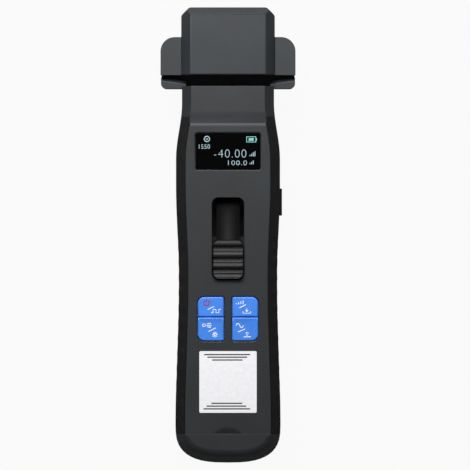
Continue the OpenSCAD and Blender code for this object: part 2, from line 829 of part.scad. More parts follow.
module knob_plan(grow)
    round_plan(knob_w + 2 * grow, [knob_y0 - grow, knob_y0 + knob_l + grow], knob_r + grow, knob_r + grow);
module slide_knob() color(black) {
    difference() {
        translate([0, 0, track_z1 + crown_up + slide_fit])
            linear_extrude(body_d + knob_up - track_z1 - crown_up - slide_fit) knob_plan(0);
        for (i = [0:rib_count - 1])
            rod_x(knob_y0 + knob_l / 2 + (i - (rib_count - 1) / 2) * rib_pitch + rib_shift,
                body_d + knob_up, rib_r, middle(0, 2 * knob_w));
    }
    both_sides() box([knob_w / 2 - leg_t, knob_w / 2], [knob_y0 + knob_r, knob_y0 + knob_l - knob_r],
        [carriage_z1, front_in]);
}
module slide_track() color(black) {
    outer = slot_w + 2 * track_rim;
    floor_y = middle(slot_y, slot_l + 2 * fit);
    difference() {
        union() {
            box(middle(0, outer), middle(slot_y, slot_l + 2 * track_rim), [track_z0, track_z1]);
            difference() {
                box(middle(0, outer), middle(slot_y, slot_l + 2 * track_rim), [track_z0, front_in]);
                box(middle(0, slot_w + 2 * fit), floor_y, [track_z0 - over, front_in + over]);
            }
            intersection() {
                rod_y(0, track_z1 + crown_up - crown_r, crown_r, floor_y, $fn = bend_steps);
                box(middle(0, 2 * (slit_x - fit)), floor_y, [track_z0, track_z1 + crown_up]);
            }
        }
        both_sides() box([slit_x, slit_x + slit_w], middle(slot_y, slot_l),
            [track_z0 - over, track_z1 + crown_up]);
    }
}
module slide_carriage() color([0.85, 0.85, 0.82]) difference() {
    box(middle(0, carriage_w), carriage_y, [carriage_z0, carriage_z1]);
    both_sides() {
        rod_y(rod_x_place, rod_zc, rod_r, [carriage_y[1] - rod_seat, carriage_y[1] + over]);
        for (y = carriage_screw_ys)
            rod_z(knob_w / 2 - leg_t / 2, y, carriage_screw_r, [carriage_z0 - over, carriage_z1 + over]);
    }
}
module carriage_screws() color(metal) both_sides() for (y = carriage_screw_ys) {
    rod_z(knob_w / 2 - leg_t / 2, y, carriage_screw_r, [carriage_z0, carriage_z1]);
    rod_z(knob_w / 2 - leg_t / 2, y, 2 * carriage_screw_r, [carriage_z0 - board_head_t / 2, carriage_z0]);
}
module detent_spring() color(metal) {
    x = middle(knob_w / 2 + slide_fit + leaf_w, leaf_w);
    box(x, middle(slot_y, leaf_l), [track_z0 - ribbon_t, track_z0]);
    rod_x(slot_y, carriage_z1 + leaf_bump_r + run_fit, leaf_bump_r, x);
}

// Push rods, press head and anvil

module push_rods() color(metal) both_sides() {
    rod_y(rod_x_place, rod_zc, rod_r, [carriage_y[1] - rod_seat, rod_tip]);
    rod_y(rod_x_place, rod_zc, collar_r, collar_y);
}
module rod_guide() color([0.85, 0.85, 0.82]) difference() {
    union() {
        both_sides() box(middle(rod_x_place, 2 * (rod_r + guide_wall) - 2 * fit), guide_y,
            [board_top, rod_zc + rod_r + guide_wall]);
        box(middle(0, 2 * rod_x_place), guide_y, [board_top, board_top + guide_base]);
    }
    both_sides() {
        rod_y(rod_x_place, rod_zc, rod_r + run_fit, [guide_y[0] - over, guide_y[1] + over]);
        rod_z(board_places[0][0], board_places[0][1], board_screw_r + fit,
            [board_top - over, board_top + guide_base + over]);
    }
}
module press_head() color(dark) difference() {
    union() {
        box(middle(0, press_w), [press_y0, press_y1], press_z);
        both_sides() rod_y(rod_x_place, rod_zc, hub_r, [press_y0 - hub_l, press_y0 + over]);
    }
    both_sides() rod_y(rod_x_place, rod_zc, rod_r + run_fit, [press_y0 - hub_l - over, press_y0 + bore_deep]);
}
module press_pad() color([0.5, 0.5, 0.5]) difference() {
    box(middle(0, anvil_w), [press_y1, press_y1 + pad_t + pad_rim], pad_z);
    rod_z(0, press_y1 + pad_t + bend_r + pad_gap, bend_r + pad_gap, [pad_z[0] - over, pad_z[1] + over],
        $fn = bend_steps);
}
module press_springs() color(metal) both_sides() difference() {
    rod_y(rod_x_place, rod_zc, spring_r, [spring_y0, spring_y1]);
    rod_y(rod_x_place, rod_zc, spring_r - spring_wire, [spring_y0 - over, spring_y1 + over]);
}
module anvil_block() color([0.12, 0.12, 0.13]) difference() {
    intersection() {
        box(middle(0, anvil_w), [anvil_y, anvil_y + anvil_t], [split_z, anvil_z1]);
        rod_z(0, anvil_y + bend_r, bend_r, [split_z - over, anvil_z1 + over], $fn = bend_steps);
    }
    both_sides() {
        rod_y(diode_x, rod_zc, diode_r + run_fit, [anvil_y + anvil_t - diode_sink, anvil_y + anvil_t + over]);
        rod_y(diode_x, rod_zc, diode_hole_r, [anvil_y - over, anvil_y + anvil_t]);
    }
}
module photodiode(x) color(metal) {
    rod_y(x, rod_zc, diode_r, [diode_y[0] + fit, diode_y[1]]);
    rod_y(x, rod_zc, diode_r + diode_rim, [anvil_y + anvil_t, anvil_y + anvil_t + diode_rim_t]);
}
module photodiode_left() photodiode(-diode_x);
module photodiode_right() photodiode(diode_x);
module sensor_board() color(green)
    box(middle(0, hood_w - 2 * wall - 2 * fit), sensor_y, [split_z + fit, side_top(wall) - fit]);
module sensor_flex() color([0.75, 0.45, 0.10]) {
    x = middle(0, sensor_flex_w);
    y0 = board_y[1] + flex_lap;
    y1 = sensor_y[1];
    box(x, [y0, y1 + ribbon_t], [sensor_flex_z, sensor_flex_z + ribbon_t]);
    box(x, [y1, y1 + ribbon_t], [sensor_flex_z, split_z + flex_up]);
    box(x, [y0, y0 + ribbon_t], [sensor_flex_z, board_z]);
    box(x, [board_y[1] - flex_lap, y0 + ribbon_t], [board_z - ribbon_t, board_z]);
}

// Keys, mat and key board

module one_key(right, row) color(blue) {
    x = right ? key_x : -key_x;
    y = key_rows[row];
    flange_y = [y[0] - (1 - row) * key_flange, y[1] + row * key_flange];
    intersection() {
        translate([x, key_y, key_low]) linear_extrude(key_top - key_low) key_column(0, right);
        box(middle(x, 2 * key_w), y, [key_low, key_top]);
    }
    intersection() {
        translate([x, key_y, key_low]) linear_extrude(key_flange_t) key_column(key_flange, right);
        box(middle(x, 2 * key_w), flange_y, [key_low, key_low + key_flange_t]);
    }
}
module key_upper_left() one_key(false, 1);
module key_upper_right() one_key(true, 1);
module key_lower_left() one_key(false, 0);
module key_lower_right() one_key(true, 0);
module keypad_mat() color([0.2, 0.4, 0.8]) difference() {
    box(middle(0, mat_w), middle(key_y, mat_l), [key_board_top, mat_top]);
    box(middle(0, mat_w - 2 * mat_rim), middle(key_y, mat_l - 2 * mat_rim),
        [key_board_top - over, mat_top - mat_t]);
}
module key_places() for (x = [-1, 1], y = key_rows) translate([x * key_x, (y[0] + y[1]) / 2, 0]) children();
module key_domes() color(metal) key_places() rod_z(0, 0, dome_r, [key_board_top, key_board_top + dome_t]);
module key_board() color(green) difference() {
    box(middle(0, key_board_w), middle(key_y, key_board_l), [key_board_top - key_board_t, key_board_top]);
    for (y = [-1, 1]) both_sides()
        rod_z(key_post_x, key_y + y * key_board_l * key_post_share, board_screw_r + fit,
            [key_board_top - key_board_t - over, key_board_top + over]);
}
module key_header() color(black)
    box([header_in - board_w / 2, header_in + header_w - board_w / 2], middle(key_y, header_l),
        [board_top, key_board_top - key_board_t]);

// Main board and what it carries

module main_board() color(green) difference() {
    union() {
        box(middle(0, board_w), board_y, [board_z, board_top]);
        box([0, socket_x1 - wall - slide_fit], middle(flap_y, tab_l), [board_z, board_top]);
    }
    for (p = board_places) both_sides()
        rod_z(p[0], p[1], board_screw_r + fit, [board_z - over, board_top + over]);
}
module board_chips() color(black) for (i = [0:len(chip_sizes) - 1]) {
    s = chip_sizes[i];
    y = board_y[0] + chip_shares[i][1] * (board_y[1] - board_y[0]);
    box(middle(chip_shares[i][0] * board_w, s[0]), middle(y, s[1]), [board_top, board_top + s[2]]);
}
module board_screws() color(metal) {
    for (p = board_places) both_sides() {
        rod_z(p[0], p[1], board_screw_r, [board_bore_z + fit, board_top + p[2]]);
        rod_z(p[0], p[1], board_head_r, [board_top + p[2], board_top + p[2] + board_head_t]);
    }
    for (y = [-1, 1]) both_sides() translate([key_post_x, key_y + y * key_board_l * key_post_share, 0]) {
        z = key_board_top - key_board_t;
        rod_z(0, 0, board_screw_r, [z, front_in - 2 * fit]);
        rod_z(0, 0, board_head_r, [z - board_head_t, z]);
    }
}
module usb_socket() color(metal) difference() {
    box([socket_x1 - socket_l, socket_x1], middle(flap_y, socket_w), middle(socket_z, socket_h));
    box([socket_x1 - socket_l + socket_back, socket_x1 + over], middle(flap_y, socket_w - 2 * socket_wall),
        middle(socket_z, socket_h - 2 * socket_wall));
}
module buzzer() color(black) difference() {
    rod_z(-board_w / 4, flap_y, buzzer_r, [board_top, board_top + buzzer_t]);
    rod_z(-board_w / 4, flap_y, buzzer_r / 6, [board_top + buzzer_t / 2, board_top + buzzer_t + over]);
}
module battery_pack() color([0.70, 0.72, 0.75])
    round_plate(battery_w, battery_y, battery_r, battery_r, [wall, wall + battery_t]);
module battery_lead() color([0.8, 0.1, 0.1]) {
    z = wall + battery_t - 2 * lead_r;
    y1 = battery_y[1] + lead_run;
    for (x = middle(0, 4 * lead_r)) {
        rod_y(x, z, lead_r, [battery_y[1], y1]);
        translate([x, y1, z]) sphere(lead_r);
        rod_z(x, y1, lead_r, [z, board_z - header_w / 2]);
    }
    box(middle(0, 8 * lead_r), middle(y1, header_w), [board_z - header_w / 2, board_z]);
}

// Tail

module port_plate() color(black) {
    w = half_w(seam_y) - wall - grip_t - fit;
    difference() {
        box(middle(0, 2 * w), [seam_y, seam_y + plate_t], plate_z);
        both_sides() rod_y(port_x, port_z, port_r + run_fit, [seam_y - over, seam_y + plate_t + over]);
        rod_y(0, led_z, led_r + run_fit, [seam_y - over, seam_y + plate_t + over]);
    }
}
// A test port: a flanged barrel with a bore for the ferrule
module test_port(x) color(metal) difference() {
    union() {
        rod_y(x, port_z, port_r, [seam_y - port_out, seam_y + plate_t + port_tail]);
        rod_y(x, port_z, port_flange_r, [seam_y + plate_t, seam_y + plate_t + port_flange_t]);
    }
    rod_y(x, port_z, ferrule_r, [seam_y - port_out - over, seam_y - port_out + ferrule_l]);
}
module laser_port() test_port(-port_x);
module meter_port() test_port(port_x);
module torch_led() color([0.9, 0.95, 1]) {
    rod_y(0, led_z, led_r, [seam_y - led_out, seam_y + plate_t + port_tail / 2]);
    rod_y(0, led_z, led_r + led_rim, [seam_y + plate_t, seam_y + plate_t + port_flange_t]);
    translate([0, seam_y - led_out, led_z]) sphere(led_r);
}
module laser_module() color(brass) rod_y(-port_x, port_z, module_r, [part_y0, part_y0 + module_l]);
module meter_detector() color(metal) rod_y(port_x, port_z, detector_r, [part_y0, part_y0 + detector_l]);
module tail_leads() color([0.8, 0.1, 0.1]) {
    z = board_top - board_t / 2;
    for (x = middle(-port_x, 4 * lead_r)) rod_y(x, z, lead_r, [part_y0 + module_l, board_y[0]]);
    for (x = middle(port_x, 4 * lead_r)) rod_y(x, z, lead_r, [part_y0 + detector_l, board_y[0]]);
    for (x = middle(0, 2 * lead_r)) {
        rod_y(x, led_z, lead_r / 2, [seam_y + plate_t + port_tail / 2, led_lead_y]);
        translate([x, led_lead_y, led_z]) sphere(lead_r / 2);
        rod_z(x, led_lead_y, lead_r / 2, [z, led_z]);
        translate([x, led_lead_y, z]) sphere(lead_r / 2);
        rod_y(x, z, lead_r / 2, [led_lead_y, board_y[0]]);
    }
}

// Label and fixing screws

module label_sticker() color("white")
    round_plate(label_w, middle(label_y, label_l), label_r, label_r, [body_d, body_d + label_t]);
module fixing_screw(z1) {
    rod_z(0, 0, screw_r, [screw_sink, z1]);
    rod_z(0, 0, screw_head_r, [screw_sink - screw_head_t, screw_sink]);
}
module case_screws() color(metal)
    for (y = case_ys) both_sides() translate([case_x, y, 0]) fixing_screw(split_z + case_bite - over);
module hood_screws() color(metal)
    for (p = hood_boss_places) both_sides()
        translate([p[0], p[1], 0]) fixing_screw(split_z + hood_bite - over);

front_shell();
rear_shell();
hood();
grip_left();
grip_right();
end_cap();
end_cap_pin();
port_cover();
port_cover_pin();
display_window();
display_panel();
display_holder();
display_flex();
slide_knob();
slide_track();
slide_carriage();
carriage_screws();
detent_spring();
push_rods();
rod_guide();
press_head();
press_pad();
press_springs();
anvil_block();
photodiode_left();
photodiode_right();
sensor_board();
sensor_flex();
key_upper_left();
key_upper_right();
key_lower_left();
key_lower_right();
keypad_mat();
key_domes();
key_board();
key_header();
main_board();
board_chips();
board_screws();
usb_socket();
battery_pack();
battery_lead();
buzzer();
port_plate();
laser_port();
meter_port();
torch_led();
laser_module();
meter_detector();
tail_leads();
label_sticker();
case_screws();
hood_screws();
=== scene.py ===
import math

import bmesh
import bpy
from mathutils import Matrix, Vector


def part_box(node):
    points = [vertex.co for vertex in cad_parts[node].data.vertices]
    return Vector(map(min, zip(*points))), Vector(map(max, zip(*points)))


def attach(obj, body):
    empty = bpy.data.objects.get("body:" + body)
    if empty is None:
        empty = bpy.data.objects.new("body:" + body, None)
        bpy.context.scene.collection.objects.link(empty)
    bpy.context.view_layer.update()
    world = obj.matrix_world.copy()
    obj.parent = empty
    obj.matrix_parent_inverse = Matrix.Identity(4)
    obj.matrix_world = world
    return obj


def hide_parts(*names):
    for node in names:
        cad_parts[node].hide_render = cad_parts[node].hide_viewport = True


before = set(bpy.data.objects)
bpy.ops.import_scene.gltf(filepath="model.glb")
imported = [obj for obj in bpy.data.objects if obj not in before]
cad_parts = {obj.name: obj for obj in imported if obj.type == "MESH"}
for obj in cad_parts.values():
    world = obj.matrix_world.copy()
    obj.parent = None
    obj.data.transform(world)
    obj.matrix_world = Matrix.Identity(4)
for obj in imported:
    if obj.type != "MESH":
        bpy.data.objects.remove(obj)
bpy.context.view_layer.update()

bl_info = {
    "name": "Optical fibre identifier",
    "version": (1, 0, 0),
    "blender": (4, 5, 0),
    "location": "View3D > Sidebar > Tester",
    "description": "Dresses the packed tester with its finishes, marks and stage",
    "category": "Object",
}

# The photograph: its side and the tester's middle in pixels, and the length of one pixel on the tester
MM = 0.001
PHOTO_SIDE = 470
MIDDLE_X = 228
MIDDLE_Y = 235
PIXEL = 0.49 * MM

# The camera: its lens and sensor in millimetres, and the height that one pixel is true at
LENS = 800
SENSOR = 36
TRUE_HEIGHT = 0.032

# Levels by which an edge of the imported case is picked, in metres up from its rear face
FOOT_Z = 0.0005
SLOT_Z = 0.0145
WING_Z = 0.028
SHOULDER_Z = 0.0335
FACE_Z = 0.0339

# Half widths by which an edge is picked, from the middle out
SCOOP_X = 0.0095
WINDOW_X = 0.0175
FACE_X = 0.0188
WING_X = 0.0232
SEAT_X = 0.0240
SIDE_X = 0.0242
COVER_X = 0.0262

# Places along the case by which an edge is picked, from the tail to the head
CAP_FACE_Y = -0.0985
SEAM_Y = -0.0968
SCOOP_Y = -0.09
SEAT_Y = (0.008, 0.0245)
SILL_Y = (0.0270, 0.0330)
WINDOW_Y = (0.0300, 0.0530)
HEAD_Y = 0.0705
SLOT_Y = 0.0725
HOOD_Y = 0.1

# The edges and corners of a knob's or key's top lie no deeper than this under its highest point
TOP_DEPTH = 0.0012

# Heights of the signs on the keys and the display, and of the lines on the label
MARK_HEIGHT = 0.00004
RULE_HEIGHT = 0.00002

# Size and depth of the fine grain of the moulded plastic
PLASTIC_GRAIN = 0.00028
PLASTIC_BUMP = 0.000016

# Merged corners lie nearer to each other than this
SAME = 1e-6


def length(name, text, default):
    """A size in metres"""
    return bpy.props.FloatProperty(name=name, description=text, default=default, unit="LENGTH", precision=5)


def colour(name, text, default):
    """A linear colour"""
    return bpy.props.FloatVectorProperty(
        name=name, description=text, default=default, min=0, max=1, size=3, subtype="COLOR"
    )


class TesterSizes(bpy.types.PropertyGroup):
    """Sizes that a user may change"""

    case_round: length("Case edge", "Rounding of the outer edges of the case", 0.0008)
    wing_round: length("Wing edge", "Rounding of the edges of the wings", 0.00015)
    rim_round: length("Rim edge", "Rounding of the rims of the openings in the case", 0.0003)
    seam_close: length("Seam", "How much the cap's sides close the seam that light would pass", 0.00015)
    window_round: length("Window edge", "Rounding of the rim around the display window", 0.0009)
    cap_round: length("Cap edge", "Width of the soft edge between the cap's face and its slope", 0.0020)
    scallop_depth: length("Scallop depth", "Depth of the finger scallops in the grips", 0.00045)
    scallop_pitch: length("Scallop pitch", "Distance from one finger scallop to the next", 0.0074)
    knob_corner: length("Knob corner", "Radius of the corners of the slider knob", 0.0028)
    ridge_depth: length("Ridge depth", "Depth of the grooves between the ridges of the knob", 0.0017)
    key_round: length("Key edge", "Rounding of the top edge of each key", 0.0007)
    crest_width: length("Key crest", "Width of the sloping strip beside the split of the keys", 0.0021)
    crest_drop: length("Key crest drop", "How much lower the lower keys lie than their crest", 0.0005)
    mark_width: length("Mark width", "Width of the lines of the marks on the keys", 0.00042)
    floor_dip: length("Floor dip", "How far the slider's floor sinks at its head end", 0.0011)
    rule_width: length("Rule width", "Width of the rule lines on the label", 0.00064)
    dot_pitch: length("Dot pitch", "Distance between the dots of the display", 0.00023)
    stage_width: length("Stage width", "Width of the floor", 24.0)
    stage_drop: length("Stage drop", "Room under the tester for its open cap", 0.0125)


class TesterColours(bpy.types.PropertyGroup):
    """Colours that a user may change"""

    case: colour("Case", "Moulded plastic of the case", (0.0155, 0.0185, 0.0213))
    grip: colour("Grip", "Rubber of the grips", (0.006, 0.006, 0.0063))
    trim: colour("Trim", "Black plastic of the slider and its floor", (0.009, 0.009, 0.0095))
    key: colour("Key", "Rubber of the four keys", (0.055, 0.235, 0.80))
    mark: colour("Mark", "Printed marks on the keys", (0.84, 0.86, 0.88))
    power: colour("Power mark", "Printed power mark on its key", (0.30, 0.008, 0.05))
    glow: colour("Glow", "Lit dots of the display", (0.62, 0.84, 0.90))
    cell_glow: colour("Battery glow", "Lit dots of the battery sign", (0.36, 0.92, 0.88))
    paper: colour("Label", "Film of the label", (0.90, 0.90, 0.93))
    ink: colour("Ink", "Rule lines on the label", (0.05, 0.05, 0.055))
    floor: colour("Floor", "Floor of the stage", (0.22, 0.22, 0.22))


class Flow:
    """A value that varies over a surface, and the sums that can be done with it"""

    def __init__(self, finish, socket):
        self.finish = finish
        self.socket = socket

    def sum(self, operation, first, second=0.0):
        """One step of arithmetic"""
        return self.finish.node("ShaderNodeMath", {"operation": operation}, {0: first, 1: second})

    def __add__(self, other):
        return self.sum("ADD", self, other)

    def __radd__(self, other):
        return self.sum("ADD", other, self)

    def __sub__(self, other):
        return self.sum("SUBTRACT", self, other)

    def __rsub__(self, other):
        return self.sum("SUBTRACT", other, self)

    def __mul__(self, other):
        return self.sum("MULTIPLY", self, other)

    def __rmul__(self, other):
        return self.sum("MULTIPLY", other, self)

    def __truediv__(self, other):
        return self.sum("DIVIDE", self, other)

    def __rtruediv__(self, other):
        return self.sum("DIVIDE", other, self)

    def __gt__(self, other):
        return self.sum("GREATER_THAN", self, other)

    def __lt__(self, other):
        return self.sum("LESS_THAN", self, other)

    def fract(self):
        """The part after the point"""
        return self.sum("FRACT", self)

    def abs(self):
        """The value without its sign"""
        return self.sum("ABSOLUTE", self)

    def fit(self, low, high, to_low=0.0, to_high=1.0):
        """Stretches a range to another one and clamps it"""
        return self.finish.node("ShaderNodeMapRange", {}, {0: self, 1: low, 2: high, 3: to_low, 4: to_high})


class Finish:
    """The nodes of one material"""

    def __init__(self, name):
        self.material = bpy.data.materials.new(name)
        self.material.use_nodes = True
        self.tree = self.material.node_tree
        self.tree.nodes.clear()
        self.place = self.node("ShaderNodeTexCoord", out="Object")

    def node(self, kind, settings=None, inputs=None, out=0):
        """Adds a node with its settings first, then the values and links of its sockets"""
        made = self.tree.nodes.new(kind)
        for key, value in (settings or {}).items():
            setattr(made, key, value)
        for key, value in (inputs or {}).items():
            if isinstance(value, Flow):
                self.tree.links.new(value.socket, made.inputs[key])
            else:
                made.inputs[key].default_value = value
        return Flow(self, made.outputs[out]) if made.outputs else None

    def stretched(self, scale):
        """Place on the object, times a scale for each axis"""
        return self.node("ShaderNodeVectorMath", {"operation": "MULTIPLY"}, {0: self.place, 1: scale})

    def axis(self, letter):
        """Place on the object along one axis"""
        return self.node("ShaderNodeSeparateXYZ", {}, {0: self.place}, letter)

    def noise(self, size, detail=2.0, place=None):
        """Soft noise with grains of about this size"""
        return self.node(
            "ShaderNodeTexNoise", {},
            {"Vector": place or self.place, "Scale": 1 / size, "Detail": detail, "Roughness": 0.55},
        )

    def cells(self, size):
        """Distance to the middle of the nearest of many cells of about this size"""
        return self.node(
            "ShaderNodeTexVoronoi", {"feature": "F1"}, {"Vector": self.place, "Scale": 1 / size}, "Distance"
        )

    def dots(self, gap):
        """Grid of the display's dots: 1 on a dot and 0 between them"""
        pitch = bpy.context.scene.tester_sizes.dot_pitch
        column = (self.axis("X") / pitch).fract() > gap
        row = (self.axis("Y") / pitch).fract() > gap
        return column * row

    def blend(self, factor, first, second):
        """First colour at 0, second colour at 1"""
        return self.node(
            "ShaderNodeMix", {"data_type": "RGBA"}, {0: factor, 6: (*first, 1.0), 7: (*second, 1.0)}, 2
        )

    def bump(self, height, depth, strength):
        """Normals of a surface that rises with a value"""
        return self.node("ShaderNodeBump", {}, {"Height": height, "Distance": depth, "Strength": strength})

    def shader(self, **inputs):
        """Surface with these inputs, whose names have _ for a space"""
        names = {key.replace("_", " "): value for key, value in inputs.items()}
        return self.node("ShaderNodeBsdfPrincipled", {}, names)

    def done(self, surface):
        """Links the surface and returns the material"""
        self.node("ShaderNodeOutputMaterial", {}, {"Surface": surface})
        return self.material


def tint(rgb, factor):
    """The colour made darker or paler"""
    return tuple(min(1.0, part * factor) for part in rgb)


def moulded(name, rgb, roughness=0.46):
    """Textured moulded plastic: a fine spark grain and slow drifts of tone and sheen"""
    f = Finish(name)
    drift = f.noise(0.022, 3.0)
    fine = f.noise(PLASTIC_GRAIN, 2.0)
    base = f.blend(drift.fit(0.3, 0.7), tint(rgb, 0.88), tint(rgb, 1.12))
    rough = roughness - 0.03 + drift * 0.03 + fine * 0.05
    return f.done(f.shader(Base_Color=base, Roughness=rough, Normal=f.bump(fine, PLASTIC_BUMP, 0.6)))


def painted_shade_plastic(name, rgb):
    """Plastic painted with shade: near black along its sides and towards its head end, where the slot's
    walls shade it, and paler and smoother down the middle
    """
    f = Finish(name)
    fine = f.noise(PLASTIC_GRAIN, 2.0)
    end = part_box("slide_track")[1].y
    # Painted shade: the floor's colour falls to near black at its sides and towards its head end, in place
    # of the shade of the slot's walls
    across = f.axis("X").abs().fit(0.0004, 0.0044, 1.0, 0.0)
    along = f.axis("Y").fit(end - 0.0102, end - 0.0042, 1.0, 0.0)
    unshaded = across * along
    base = f.blend(unshaded, tint(rgb, 0.05), tint(rgb, 0.6))
    rough = 0.86 - unshaded * 0.28 + fine * 0.05
    return f.done(f.shader(Base_Color=base, Roughness=rough, Specular_IOR_Level=0.18,
                           Normal=f.bump(fine, PLASTIC_BUMP, 0.6)))


def rubber(name, rgb):
    """Moulded rubber: a coarser grain, with shiny rubbed spots"""
    f = Finish(name)
    grit = f.noise(0.0005, 3.0)
    wear = f.noise(0.006, 4.0)
    base = f.blend(wear.fit(0.35, 0.75), tint(rgb, 0.8), tint(rgb, 1.5))
    rough = 0.7 - wear * 0.16 + grit * 0.06
    return f.done(f.shader(Base_Color=base, Roughness=rough, Specular_IOR_Level=0.25,
                           Normal=f.bump(grit, 0.00005, 0.7)))


def key_rubber(name, rgb):
    """Silicone rubber of the keys, with a dust-fine grain"""
    f = Finish(name)
    drift = f.noise(0.004, 2.0)
    fine = f.noise(0.00018, 2.0)
    base = f.blend(drift.fit(0.3, 0.7), tint(rgb, 0.93), tint(rgb, 1.05))
    return f.done(f.shader(Base_Color=base, Roughness=0.36 + fine * 0.08,
                           Normal=f.bump(fine, 0.00001, 0.5)))


def clear_window(name):
    """Tinted hard-coated window"""
    f = Finish(name)
    haze = f.noise(0.012, 3.0)
    return f.done(f.shader(
        Base_Color=f.blend(haze.fit(0.3, 0.7), (0.78, 0.82, 0.83), (0.84, 0.87, 0.88)),
        Roughness=0.03 + haze * 0.02, IOR=1.30, Transmission_Weight=1.0,
    ))


def panel_glass(name):
    """Unlit face of the display, almost black, with its faint grid of dots"""
    f = Finish(name)
    base = f.blend(f.dots(0.14), (0.001, 0.001, 0.001), (0.002, 0.003, 0.003))
    return f.done(f.shader(Base_Color=base, Roughness=0.35 + f.noise(0.01) * 0.05))


def lit(name, rgb):
    """Lit dots of the display"""
    f = Finish(name)
    glow = f.blend(f.dots(0.12), tint(rgb, 0.45), rgb)
    return f.done(f.shader(
        Base_Color=(0.02, 0.03, 0.03, 1.0), Roughness=0.5, Emission_Color=glow, Emission_Strength=1.0,
    ))


def print_film(name, rgb, roughness=0.42):
    """Printed or plain film, with a slight mottle"""
    f = Finish(name)
    mottle = f.noise(0.0018, 4.0)
    base = f.blend(mottle.fit(0.3, 0.7), tint(rgb, 0.95), tint(rgb, 1.04))
    return f.done(f.shader(Base_Color=base, Roughness=roughness + mottle * 0.1,
                           Normal=f.bump(mottle, 0.00001, 0.4)))


def foam(name):
    """Open foam of the press pad"""
    f = Finish(name)
    pores = f.cells(0.0006)
    base = f.blend(pores.fit(0.0, 0.6), (0.05, 0.05, 0.05), (0.17, 0.17, 0.17))
    return f.done(f.shader(Base_Color=base, Roughness=0.9 - pores * 0.05,
                           Normal=f.bump(pores, 0.0002, 0.8)))


def board(name, mask, track):
    """Lacquered circuit board with tracks that run one way"""
    f = Finish(name)
    tracks = f.noise(0.0012, 1.0, f.stretched((3.0, 0.35, 1.0)))
    pads = f.cells(0.0021) < 0.22
    base = f.blend(tracks > 0.55, mask, track)
    return f.done(f.shader(Base_Color=base, Roughness=0.3 + pads * 0.1, Metallic=pads * 0.4,
                           Normal=f.bump(tracks > 0.55, 0.00003, 0.5)))


def flex_film(name):
    """Amber film of a flat cable, with its copper tracks"""
    f = Finish(name)
    tracks = (f.axis("X") / 0.0005).fract() > 0.5
    base = f.blend(tracks, (0.42, 0.17, 0.03), (0.55, 0.26, 0.06))
    return f.done(f.shader(Base_Color=base, Roughness=0.35 + f.noise(0.003) * 0.1))


def cell_foil(name):
    """Creased foil of the battery"""
    f = Finish(name)
    creases = f.noise(0.004, 4.0)
    base = f.blend(creases.fit(0.3, 0.7), (0.38, 0.41, 0.45), (0.55, 0.58, 0.61))
    return f.done(f.shader(Base_Color=base, Metallic=0.6 + creases * 0.2, Roughness=0.3 + creases * 0.2,
                           Normal=f.bump(creases, 0.0001, 0.5)))


def metal(name, dark, pale):
    """Plated or turned metal with fine tool marks"""
    f = Finish(name)
    lines = f.noise(0.0006, 3.0)
    base = f.blend(lines.fit(0.3, 0.7), dark, pale)
    return f.done(f.shader(Base_Color=base, Metallic=1.0, Roughness=0.28 + lines * 0.14,
                           Normal=f.bump(lines, 0.00001, 0.5)))


def insulation(name):
    """Leads, red on one side and black on the other"""
    f = Finish(name)
    side = f.axis("X") > 0.0
    base = f.blend(side, (0.42, 0.012, 0.012), (0.012, 0.012, 0.014))
    return f.done(f.shader(Base_Color=base, Roughness=0.4 + f.noise(0.002) * 0.1))


def lamp_resin(name):
    """Clear resin of the lamp"""
    f = Finish(name)
    flow = f.noise(0.003, 2.0)
    base = f.blend(flow.fit(0.3, 0.7), (0.82, 0.86, 0.90), (0.92, 0.94, 0.96))
    return f.done(f.shader(
        Base_Color=base, Roughness=0.05 + flow * 0.04, IOR=1.5, Transmission_Weight=0.85,
    ))


def copy_of(name):
    """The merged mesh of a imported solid, with its flat faces whole again"""
    bm = bmesh.new()
    bm.from_mesh(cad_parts[name].data)
    bmesh.ops.remove_doubles(bm, verts=bm.verts, dist=SAME)
    bmesh.ops.dissolve_limit(bm, angle_limit=math.radians(0.4), verts=bm.verts, edges=bm.edges)
    return bm


def cut(bm, place, normal, drop_outer=False):
    """Cuts all faces along a plane"""
    bmesh.ops.bisect_plane(
        bm, geom=bm.verts[:] + bm.edges[:] + bm.faces[:], dist=1e-7,
        plane_co=place, plane_no=normal, clear_outer=drop_outer,
    )


def within(value, span):
    """True for a value between the two ends of a span"""
    return span[0] < value < span[1]


def in_face(edge):
    """True for an edge that lies in the front face"""
    return min(edge.verts[0].co.z, edge.verts[1].co.z) > FACE_Z


def rounded(bm, width, segments, where, angle=32):
    """Rounds the edges that are sharper than the angle and pass the test"""
    picked = []
    for edge in bm.edges:
        if not edge.is_manifold or not edge.is_convex or edge.calc_face_angle(0) < math.radians(angle):
            continue
        if where((edge.verts[0].co + edge.verts[1].co) / 2, edge):
            picked.append(edge)
    bmesh.ops.bevel(
        bm, geom=picked, offset=width, offset_type="OFFSET", segments=segments, profile=0.5,
        affect="EDGES", clamp_overlap=False, material=-1,
    )
    bmesh.ops.remove_doubles(bm, verts=bm.verts, dist=SAME)


def piece(bm, name, material, body, stands_for=(), smooth=38):
    """Makes the shape an object that rides on a body, with even shading"""
    mesh = bpy.data.meshes.new(name)
    bm.normal_update()
    bm.to_mesh(mesh)
    bm.free()
    mesh.materials.append(material)
    mesh.shade_smooth()
    mesh.set_sharp_from_angle(angle=math.radians(smooth))
    made = bpy.data.objects.new(name, mesh)
    bpy.context.scene.collection.objects.link(made)
    even = made.modifiers.new("Even shading", "WEIGHTED_NORMAL")
    even.keep_sharp = True
    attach(made, body)
    if stands_for:
        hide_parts(*stands_for)


def finish_nodes(material, *names):
    """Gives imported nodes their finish"""
    for name in names:
        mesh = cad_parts[name].data
        mesh.materials.clear()
        mesh.materials.append(material)


